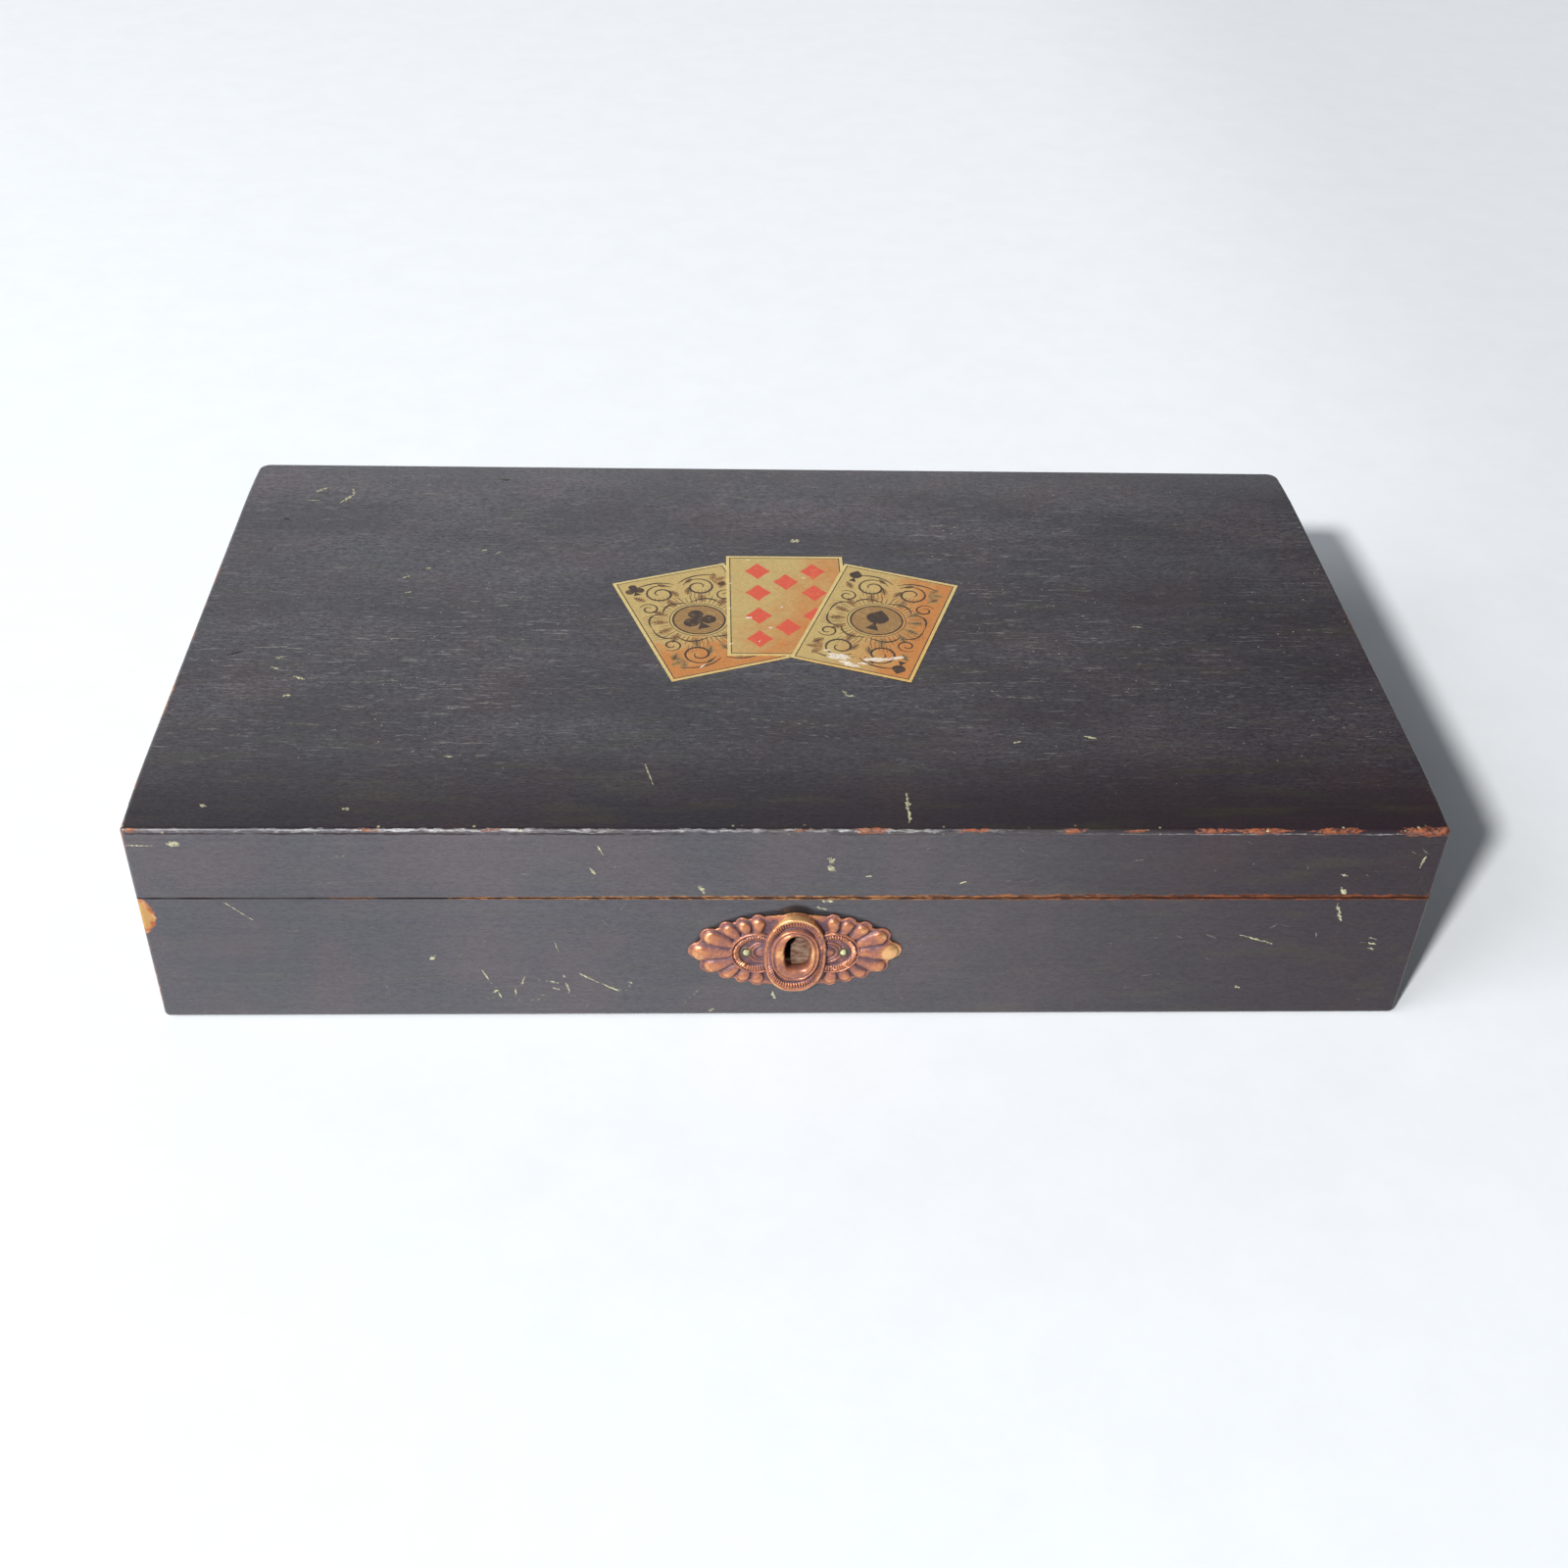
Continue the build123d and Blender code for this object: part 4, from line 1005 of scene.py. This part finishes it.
def leaf(x, y, length, width, turn, steps=8):
    """A pointed leaf that grows from a point, as a strip of faces along its midrib."""
    pairs = []
    for number in range(1, steps):
        along = length * number / steps
        half = width * math.sin(math.pi * (number / steps) ** 0.8)
        pairs.append([(along, -half), (along, half)])
    return moved(pointed((0, 0), pairs, (length, 0)), x, y, turn)


# Points of a vein: share of the leaf's length past its root, and share of its reach to the side
VEIN = [(0.0, 0.0), (0.09, 0.5), (0.16, 1.0)]


def leaf_lines(x, y, length, width, turn):
    """Midrib and slanting veins of a leaf."""
    lines = [stroke([(0.0, 0.0), (length * 0.5, 0.0), (length * 0.95, 0.0)], 0.28)]
    for share in (0.3, 0.48, 0.66):
        half = width * 0.75 * math.sin(math.pi * (share + 0.1))
        for side in (-1, 1):
            vein = [(length * (share + along), side * half * out) for along, out in VEIN]
            lines.append(stroke(vein, 0.17, 0.6))
    return [moved(line, x, y, turn) for line in lines]


def diamond_pip(x, y, size):
    """A diamond with slightly hollow sides."""
    points = []
    for quarter in range(4):
        turn = quarter * math.pi / 2
        points.append(polar(size if quarter % 2 else size * 0.86, turn, x, y))
        points.append(polar(size * 0.62, turn + math.pi / 4, x, y))
    return outline(points)


def pip_stem(x, y, size):
    """The foot under a club or a spade."""
    points = [(-0.07, 0.1), (-0.1, -0.45), (-0.38, -0.95), (0.38, -0.95), (0.1, -0.45), (0.07, 0.1)]
    return moved(outline(points), x, y, 0, size)


def club_pip(x, y, size):
    """A club: three leaves on a foot."""
    leaves = [disc(x, y + 0.5 * size, 0.42 * size)]
    leaves += [disc(x + side * 0.5 * size, y - 0.18 * size, 0.42 * size) for side in (-1, 1)]
    return leaves + [disc(x, y, 0.3 * size), pip_stem(x, y, size)]


def spade_pip(x, y, size, steps=12):
    """A spade on a foot, as a strip from its point down to its lobes."""
    pairs = []
    for number in range(1, steps):
        share = number / steps
        half = 0.82 * math.sin(math.pi * share**0.85 * 0.93) ** 1.15 * (0.5 + 0.5 * share)
        pairs.append([(-half, 1.0 - 1.45 * share), (half, 1.0 - 1.45 * share)])
    return [moved(pointed((0.0, 1.0), pairs), x, y, 0, size), pip_stem(x, y - 0.05 * size, size)]


def rectangle(half_width, half_height):
    """An upright rectangle about the origin."""
    corners = [(-half_width, -half_height), (half_width, -half_height)]
    return outline(corners + [(half_width, half_height), (-half_width, half_height)])


def frame_line(half_width, half_height, width):
    """A thin line round a rectangle."""
    edges = [rectangle(half_width + reach, half_height + reach)[0] for reach in (width / 2, -width / 2)]
    return ribbon(zip(*edges), closed=True)


def ragged(rng, x, y, length, width, turn, corners=14):
    """A flake with an uneven edge."""
    points = []
    for number in range(corners):
        angle = 2 * math.pi * number / corners
        reach = rng.uniform(0.5, 1.0)
        points.append((length / 2 * math.cos(angle) * reach, width / 2 * math.sin(angle) * reach))
    return moved(outline(points), x, y, turn)


def thin_sheets(name, shapes, to_space, inward):
    """A mesh of thin closed sheets: each shape is placed by to_space and thickened inward."""
    work = bmesh.new()
    for (points, faces), tone, level in shapes:
        corners = [work.verts.new(to_space(px, py, level)) for px, py in points]
        for face in faces:
            work.faces.new([corners[number] for number in face]).material_index = tone
    copy = bmesh.ops.extrude_face_region(work, geom=list(work.faces), use_keep_orig=True)
    sunk = [item for item in copy["geom"] if isinstance(item, bmesh.types.BMVert)]
    bmesh.ops.translate(work, verts=sunk, vec=inward)
    return closed_mesh(name, work)


# The print: half a card's width and height, and each card's place and tilt in the fan
CARD_HALF = (15.3, 23.25)
CARD_MARGIN = 0.95
FAN = {"left": (-21.2, 0.2, 20.0), "middle": (1.1, 7.5, 0.0), "right": (23.4, 0.2, -20.0)}
RAY_COUNT = 48
HATCH_STEP = 0.8
CARD_STEP = 0.04
INK_STEP = 0.006
MARGIN, FIELD, DARK, SEPIA, SHADE, RED, FLAKE = range(7)


def ten_of_diamonds():
    """Ten diamonds in the usual places."""
    places = [(x, y) for x in (-7.2, 7.2) for y in (15.8, 5.4, -5.4, -15.8)] + [(0, 10.6), (0, -10.6)]
    return [(diamond_pip(x, y, 3.9), RED, 2) for x, y in places]


# Leaves of a quarter: x, y, length, half width and turn of each
SPRAYS = [
    (6.9, 4.0, 4.6, 1.2, 0.9),
    (7.6, 1.4, 4.4, 1.1, 0.3),
    (3.6, 7.4, 4.2, 1.2, 1.35),
    (10.0, 12.2, 3.8, 1.0, 0.9),
    (1.2, 11.8, 3.8, 1.0, 1.2),
    (2.6, 17.2, 2.8, 0.8, 0.7),
]


def leaves_and_lines(sprays):
    """Leaves, and the lines on them."""
    lines = [line for spray in sprays for line in leaf_lines(*spray)]
    return [(leaf(*spray), SEPIA, 2) for spray in sprays], lines


def foliage():
    """Scrolls, leaves and hatching of the upper right quarter of an ornamental card."""
    leaves, veins = leaves_and_lines(SPRAYS)
    lines = [
        stroke(spiral(5.2, 14.4, 4.2, 2.6, -1.5), 0.62),
        stroke(spiral(10.2, 8.6, 2.5, 0.6, 1.3), 0.5),
        stroke(curve((0.4, 8.2), (6.4, 10.2), (7.6, 5.4)), 0.6),
        stroke(curve((0.6, 17.6), (5.0, 21.4), (11.4, 18.4)), 0.5),
        stroke(curve((8.2, 5.6), (12.6, 6.0), (12.4, 0.2)), 0.55),
        *veins,
    ]
    bows = [curve((1.0 + n, 9.6), (2.0 + n, 11.0), (2.4 + n, 13.0), 4) for n in range(6)]
    bows += [curve((9.0, 2.2 + n), (11.0, 2.8 + n), (13.4, 2.0 + n), 4) for n in range(4)]
    hatching = [(stroke(bow, 0.2, 0.6), SHADE, 1.5) for bow in bows]
    return leaves + [(line, DARK, 3) for line in lines] + hatching


def corner_spray():
    """Three leaves that fill a corner."""
    leaves, veins = leaves_and_lines([(9.4, 15.9, 4.2, 1.0, turn) for turn in (-0.75, 0.2, 1.15)])
    return leaves + [(line, SHADE, 3) for line in veins]


def both_ways_up(shapes):
    """Shapes of a card's upper half, and the same for its lower half."""
    turned = []
    for turn in (0, math.pi):
        turned += [(moved(shape, 0, 0, turn), tone, level) for shape, tone, level in shapes]
    return turned


def ornamental_ace(pip):
    """A suit mark in a hatched medallion, with foliage in all four quarters and two corner pips."""
    quarter = foliage()
    shapes = [(disc(0, 0, 6.4, 40), SEPIA, 2)] + both_ways_up(quarter)
    shapes += both_ways_up([(mirrored(shape), tone, level) for shape, tone, level in quarter])
    for n in range(RAY_COUNT):
        ray = [polar(reach, 2 * math.pi * n / RAY_COUNT) for reach in (7.8, 9.0, 10.6 + n % 2)]
        shapes.append((stroke(ray, 0.3, 0.5), SHADE, 1.5))
    for n in range(-7, 8):
        y = HATCH_STEP * n
        reach = math.sqrt(6.2**2 - y**2)
        shapes.append((stroke([(-reach, y), (0, y), (reach, y)], 0.2, 0.9), SHADE, 3))
    shapes += [(hoop(0, 0, radius, width), DARK, 3) for radius, width in ((6.5, 0.5), (7.4, 0.22))]
    shapes += [(part, DARK, 4) for part in pip(0, 0.2, 4.6)]
    return shapes + both_ways_up([(part, DARK, 4) for part in pip(-11.0, 18.3, 2.7)] + corner_spray())


CARD_ART = {
    "left": ornamental_ace(club_pip),
    "middle": ten_of_diamonds(),
    "right": ornamental_ace(spade_pip),
}

# White flakes where the print has come off: x, y, length, width and turn of each
FLAKES = {
    "left": [
        (-6.0, -19.5, 2.6, 0.7, 0.5),
        (12.4, -13.0, 1.6, 0.8, 1.2),
    ],
    "middle": [
        (-14.6, -2.0, 1.2, 0.7, 1.4),
        (-14.2, 9.8, 0.9, 0.6, 0.2),
        (-9.8, -6.4, 2.4, 1.0, 0.3),
        (-4.4, -10.8, 1.2, 0.8, 0),
        (-14.4, -18.2, 1.8, 0.5, 0.2),
        (-7.4, -17.0, 0.9, 0.5, 0.7),
        (-9.6, 21.4, 1.2, 0.4, 0.1),
        (4.8, 12.6, 1.7, 0.4, 0),
        (-1.4, -1.4, 0.9, 0.7, 0.5),
    ],
    "right": [
        (-4.2, -18.8, 7.0, 3.2, 0.1),
        (-1.0, -21.0, 6.0, 2.4, -0.1),
        (5.0, -16.8, 8.5, 2.0, 0.3),
        (9.4, -14.4, 4.6, 1.5, 0.5),
        (2.2, -19.6, 3.2, 1.0, 0.2),
        (-7.8, -17.2, 2.2, 0.8, 0.4),
    ],
}

# Slope across which the paper of a card's field turns warmer, and where on it that starts and ends
CARD_WARMTH = {
    "left": ((-0.35, 1.0), 3, -11),
    "middle": ((-1.0, 0.5), 16, -14),
    "right": ((-1.0, 0.4), -16, -36),
}
card_margin = paper("card_margin", rgb(202, 180, 120), rgb(206, 168, 100), (-0.35, 1.0), -6, -26)
print_inks = [
    ink("ink_black", rgb(58, 44, 36), rgb(112, 86, 56)),
    ink("ink_sepia", rgb(150, 116, 70), rgb(178, 144, 88)),
    ink("ink_shading", rgb(112, 80, 50), rgb(146, 112, 68)),
    ink("ink_red", rgb(200, 78, 56), rgb(206, 108, 70)),
    bare_fibres("paper_flake", rgb(232, 224, 214), rgb(196, 180, 158)),
]
flake_draw = random.Random(4)


def printed_card(layer, name):
    """One card of the fan: margin, field, frame line, art and flakes as thin sheets."""
    card_x, card_y, tilt = FAN[name]
    field = [half - CARD_MARGIN for half in CARD_HALF]
    shapes = [(rectangle(*CARD_HALF), MARGIN, 0), (rectangle(*field), FIELD, 1)]
    shapes += [(frame_line(*field, 0.26), DARK, 2)] + CARD_ART[name]
    shapes += [(ragged(flake_draw, *flake), FLAKE, 6) for flake in FLAKES[name]]

    def on_card(px, py, level):
        """A point of this card, laid on the lid at its place in the fan."""
        (place,), _ = moved(([(px, py)], []), card_x, card_y, math.radians(tilt))
        height = lid_top + (layer + 1) * CARD_STEP + level * INK_STEP
        return Vector((*place, height)) * MM

    layered = []
    for number, (shape, tone, level) in enumerate(shapes):
        layered.append((shape, tone, level + number % 4 * 0.2))
    sheets = thin_sheets("card", layered, on_card, Vector((0, 0, -CARD_STEP * MM)))
    field_paper = paper(f"card_field_{name}", rgb(182, 157, 100), rgb(184, 120, 62), *CARD_WARMTH[name])
    materials = [card_margin, field_paper] + print_inks
    card = new_piece(f"card_print_{name}", sheets, materials, "lid")
    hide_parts("card_transfer")


for number, card_name in enumerate(FAN):
    printed_card(number, card_name)


# Scratches and flecks: start, end and width of each
PROUD = 0.02
SCRATCH_STEP = 0.45
TOP_SCRATCHES = [
    ((25.1, -69.1), (25.1, -78.7), 0.8),
    ((3.0, 38.7), (5.6, 39.1), 1.5),
    ((13.2, -30.3), (14.4, -32.6), 0.8),
    ((13.4, -32.4), (15.9, -32.6), 0.7),
    ((-92.0, 23.4), (-90.6, 24.0), 0.7),
    ((-117.3, -25.3), (-114.6, -26.6), 0.8),
    ((-118.6, -33.6), (-116.8, -33.0), 0.8),
    ((-78.8, -56.4), (-76.4, -56.8), 0.7),
    ((-129.4, -73.4), (-127.6, -73.8), 0.7),
    ((-98.6, -74.4), (-97.0, -74.8), 0.7),
    ((87.6, -1.8), (90.6, -2.2), 0.5),
    ((-33.2, -59.3), (-31.1, -66.8), 0.3),
    ((-78.5, 32.7), (-77.1, 33.2), 0.9),
    ((-74.3, 31.2), (-73.4, 32.2), 0.6),
    ((-97.3, 19.1), (-95.4, 19.8), 0.6),
    ((-95.9, 12.0), (-94.2, 12.3), 0.5),
    ((-123.0, -17.5), (-120.8, -17.1), 0.6),
    ((-123.3, -21.2), (-121.5, -22.5), 0.7),
    ((68.3, -48.0), (71.0, -49.2), 0.8),
    ((51.4, -50.8), (53.3, -50.4), 0.6),
    ((-126.4, 63.4), (-123.6, 65.6), 0.9),
    ((-128.6, 58.6), (-124.6, 58.4), 0.35),
    ((-116.6, 65.2), (-116.0, 61.4), 0.6),
    ((-116.1, 61.6), (-119.0, 57.2), 0.8),
]
TOP_DASHES = [
    ((-2.6, -33.7), (19.6, -37.9), 0.3, 7),
    ((-10.0, -42.0), (10.5, -44.5), 0.28, 6),
    ((4.4, -48.0), (15.4, -49.8), 0.26, 4),
    ((29.3, -36.2), (36.5, -41.3), 0.28, 4),
    ((-77.2, 54.5), (-60.4, 54.0), 0.4, 4),
    ((-92.3, 32.2), (-85.9, 32.3), 0.35, 2),
    ((-122.0, 6.5), (-117.2, 6.8), 0.35, 2),
    ((-72.0, -9.1), (-62.6, -9.0), 0.4, 3),
    ((-93.5, -10.2), (-83.2, -9.5), 0.3, 3),
    ((49.0, -31.7), (62.0, -34.4), 0.3, 4),
    ((-36.5, 33.4), (-20.4, 35.8), 0.75, 8),
]
TOP_NICKS = [
    ((-76.8, 71.7), (-74.1, 71.5), 0.7),
    ((-132.6, 48.5), (-131.0, 48.3), 0.6),
    ((-134.7, -16.5), (-131.2, -14.9), 0.5),
]
LID_SCRATCHES = [
    ((-135.6, 52.8), (-132.8, 53.2), 1.2),
    ((-144.6, 52.5), (-138.5, 52.4), 0.25),
    ((-43.0, 52.4), (-41.8, 49.8), 0.4),
    ((-44.9, 46.2), (-43.7, 44.2), 0.5),
    ((7.4, 49.0), (9.0, 47.6), 1.3),
    ((7.5, 46.6), (9.3, 45.2), 1.2),
    ((-20.8, 41.0), (-19.8, 38.6), 1.0),
    ((123.6, 40.5), (125.0, 38.2), 1.2),
    ((122.9, 44.4), (124.5, 43.8), 0.5),
    ((140.2, 46.2), (140.9, 49.6), 0.8),
    ((16.0, 43.8), (17.4, 43.7), 0.4),
    ((37.2, 41.6), (38.6, 42.2), 0.5),
]
BASE_SCRATCHES = [
    ((-70.7, 15.3), (-69.4, 12.3), 0.35),
    ((-68.8, 8.1), (-67.3, 8.8), 0.5),
    ((-67.5, 8.4), (-66.8, 6.2), 0.5),
    ((-61.0, 13.2), (-61.6, 11.6), 0.35),
    ((-62.0, 11.1), (-61.4, 11.0), 0.8),
    ((-63.4, 9.9), (-63.5, 7.2), 0.35),
    ((-55.4, 11.7), (-53.3, 11.0), 0.45),
    ((-54.9, 9.5), (-53.2, 8.9), 0.4),
    ((-52.2, 13.6), (-51.8, 12.8), 0.6),
    ((-51.9, 11.6), (-50.9, 8.4), 0.35),
    ((-48.7, 14.2), (-43.8, 11.0), 0.4),
    ((-43.4, 10.8), (-39.2, 8.2), 0.35),
    ((-37.2, 11.5), (-36.5, 10.8), 0.5),
    ((-82.2, 18.6), (-80.8, 19.8), 0.7),
    ((-18.8, 2.0), (-17.4, 2.6), 0.8),
    ((-53.7, 23.8), (-52.9, 21.0), 0.25),
    ((-126.2, 36.3), (-120.4, 30.8), 0.22),
    ((123.9, 35.6), (125.9, 30.1), 0.7),
    ((103.2, 25.9), (111.5, 23.1), 0.4),
    ((105.0, 9.6), (106.2, 8.8), 0.6),
    ((133.6, 25.0), (135.6, 24.4), 0.5),
    ((133.8, 23.4), (135.8, 22.8), 0.5),
    ((134.0, 21.8), (135.6, 21.2), 0.4),
    ((-3.9, 8.2), (-3.4, 5.8), 0.9),
    ((6.6, 36.4), (9.4, 36.2), 0.8),
    ((5.4, 34.6), (7.8, 33.6), 0.7),
]
BASE_DASHES = [
    ((-20.8, 9.1), (-25.4, 3.0), 0.4, 5),
    ((-69.6, 12.4), (-67.8, 9.4), 0.45, 3),
    ((-70.0, 6.4), (-68.2, 6.0), 0.4, 1),
    ((-58.2, 12.1), (-55.2, 11.6), 0.4, 2),
    ((-63.6, 7.3), (-62.4, 4.8), 0.5, 2),
    ((-58.6, 7.6), (-55.6, 6.6), 0.5, 1),
    ((-60.2, 5.7), (-56.0, 6.0), 0.35, 3),
    ((-61.4, 4.4), (-59.2, 3.9), 0.5, 1),
    ((-51.4, 8.8), (-50.4, 6.2), 0.5, 2),
    ((-53.0, 3.9), (-50.2, 2.6), 0.4, 2),
    ((-47.8, 4.5), (-46.2, 3.7), 0.4, 1),
    ((-36.5, 10.9), (-38.1, 8.1), 0.4, 2),
    ((-75.1, 11.4), (-74.7, 8.2), 0.35, 2),
]


def scratch(rng, start, end, width):
    """A fleck or scratch from start to end: a strip that wanders and swells as torn fibres do."""
    length = math.dist(start, end)
    turn = math.atan2(end[1] - start[1], end[0] - start[0])
    steps = max(3, round(length / SCRATCH_STEP))
    pairs = []
    for number in range(steps + 1):
        share = number / steps
        half = width * rng.uniform(0.15, 0.8) * (0.3 + 0.7 * math.sin(math.pi * share))
        drift = width * rng.uniform(-0.25, 0.25)
        pairs.append([(length * share, drift - half), (length * share, drift + half)])
    return moved(ribbon(pairs), *start, turn)


def dashed(rng, start, end, width, count):
    """A broken scratch: short dashes in a row, a little off the line."""
    dashes = []
    for number in range(count):
        near = (number + rng.uniform(0.0, 0.35)) / count
        far = (number + rng.uniform(0.5, 0.9)) / count
        points = []
        for share in (near, far):
            drift = rng.uniform(-0.3, 0.3)
            points.append(tuple(a + (b - a) * share + drift for a, b in zip(start, end)))
        dashes.append(scratch(rng, *points, width))
    return dashes


def stray_scratches(rng, count, low, high, slant):
    """Fine short scratches scattered over a rectangle."""
    marks = []
    for _ in range(count):
        x = rng.uniform(low[0], high[0])
        y = rng.uniform(low[1], high[1])
        length = rng.uniform(0.5, 3.2)
        turn = rng.gauss(0, slant)
        end = (x + length * math.cos(turn), y + length * math.sin(turn))
        marks.append(scratch(rng, (x, y), end, rng.uniform(0.1, 0.28)))
    return marks


def on_lid_top(px, py, level):
    """A point on the lid's upper face."""
    return Vector((px, py, lid_height(py) + PROUD + level * INK_STEP)) * MM


def on_front(px, py, level):
    """A point on the front."""
    return Vector((px, front_y - PROUD - level * INK_STEP, py)) * MM


mark_draw = random.Random(11)
scratch_materials = [
    bare_fibres("scratch_fibres", rgb(194, 190, 152), rgb(108, 105, 94)),
    bare_fibres("faint_scratch", rgb(126, 123, 112), rgb(72, 71, 70)),
    bare_fibres("dark_nick", rgb(30, 26, 26), rgb(16, 15, 15)),
]
STRONG, FAINT, NICK = range(3)


def scratched(name, body, to_space, inward, drawn, dashes, strays, nicks=()):
    """One piece of all the scratches on a face; the strays are fainter."""
    marks = [(scratch(mark_draw, *mark), STRONG) for mark in drawn]
    marks += [(dash, FAINT) for mark in dashes for dash in dashed(mark_draw, *mark)]
    marks += [(mark, FAINT) for field in strays for mark in stray_scratches(mark_draw, *field)]
    marks += [(scratch(mark_draw, *mark), NICK) for mark in nicks]
    layered = [(shape, tone, number % 3) for number, (shape, tone) in enumerate(marks)]
    sheets = thin_sheets(name, layered, to_space, Vector(inward) * 2 * PROUD * MM)
    new_piece(name, sheets, scratch_materials, body)


TOP_STRAYS = [(110, (-138, -52), (138, 70), 0.12)]
LID_STRAYS = [(30, (-140, 40), (140, 54), 0.5)]
BASE_STRAYS = [(16, (-140, 4), (-25, 34), 0.8), (16, (26, 4), (140, 34), 0.8)]
TOP_MARKS = (TOP_SCRATCHES, TOP_DASHES, TOP_STRAYS, TOP_NICKS)
scratched("lid_top_scratches", "lid", on_lid_top, (0, 0, -1), *TOP_MARKS)
scratched("lid_front_scratches", "lid", on_front, (0, 1, 0), LID_SCRATCHES, [], LID_STRAYS)
scratched("base_front_scratches", "base", on_front, (0, 1, 0), BASE_SCRATCHES, BASE_DASHES, BASE_STRAYS)


# Floor, light and camera
floor_mesh = bpy.data.meshes.new("floor")
floor_mesh.from_pydata([(-4, -4, 0), (4, -4, 0), (4, 4, 0), (-4, 4, 0)], [], [(0, 1, 2, 3)])
floor_mesh.materials.append(studio_floor())
floor = bpy.data.objects.new("floor", floor_mesh)
bpy.context.scene.collection.objects.link(floor)


def add_light(name, kind, place, energy, colour, **settings):
    """A light at a place, turned to the box."""
    data = bpy.data.lights.new(name, kind)
    data.energy = energy
    data.color = colour
    for key, value in settings.items():
        setattr(data, key, value)
    light = bpy.data.objects.new(name, data)
    light.location = place
    light.rotation_euler = Vector(place).to_track_quat("Z", "Y").to_euler()
    bpy.context.scene.collection.objects.link(light)


add_light("sun", "SUN", (-1.0, -1.36, 1.14), 4.1, (1.0, 0.985, 0.96), angle=math.radians(4.5))
add_light("window", "AREA", (-1.2, -0.7, 0.95), 16.0, (0.94, 0.97, 1.0), size=1.0)


def studio_world():
    """Dim surroundings with a pale wall at the back left."""
    world = bpy.data.worlds.new("studio")
    world.use_nodes = True
    nodes = world.node_tree.nodes
    links = world.node_tree.links
    towards_wall = nodes.new("ShaderNodeVectorMath")
    towards_wall.operation = "DOT_PRODUCT"
    towards_wall.inputs[1].default_value = (-0.35, 0.94, 0.0)
    links.new(nodes.new("ShaderNodeTexCoord").outputs["Generated"], towards_wall.inputs[0])
    strength = nodes.new("ShaderNodeMapRange")
    strength.interpolation_type = "SMOOTHSTEP"
    for key, value in {"From Min": 0.5, "From Max": 0.9, "To Min": 0.13, "To Max": 0.85}.items():
        strength.inputs[key].default_value = value
    links.new(towards_wall.outputs["Value"], strength.inputs["Value"])
    nodes["Background"].inputs["Color"].default_value = (0.93, 0.96, 1.0, 1.0)
    links.new(strength.outputs[0], nodes["Background"].inputs["Strength"])
    return world


bpy.context.scene.world = studio_world()
bpy.context.scene.view_settings.view_transform = "Standard"

CAMERA_PLACE = Vector((-20.05, -391.61, 313.90)) * MM
CAMERA_YAW = math.radians(-3.162)
CAMERA_PITCH = math.radians(38.129)
CAMERA_ROLL = math.radians(2.074)
camera_data = bpy.data.cameras.new("camera")
camera_data.lens = 42.65
camera_data.sensor_width = 36
camera_data.clip_start = 0.01
camera = bpy.data.objects.new("camera", camera_data)
aim = Matrix.Rotation(CAMERA_YAW, 4, "Z") @ Matrix.Rotation(math.pi / 2 - CAMERA_PITCH, 4, "X")
camera.matrix_world = Matrix.Translation(CAMERA_PLACE) @ aim @ Matrix.Rotation(CAMERA_ROLL, 4, "Z")
bpy.context.scene.collection.objects.link(camera)
bpy.context.scene.camera = camera
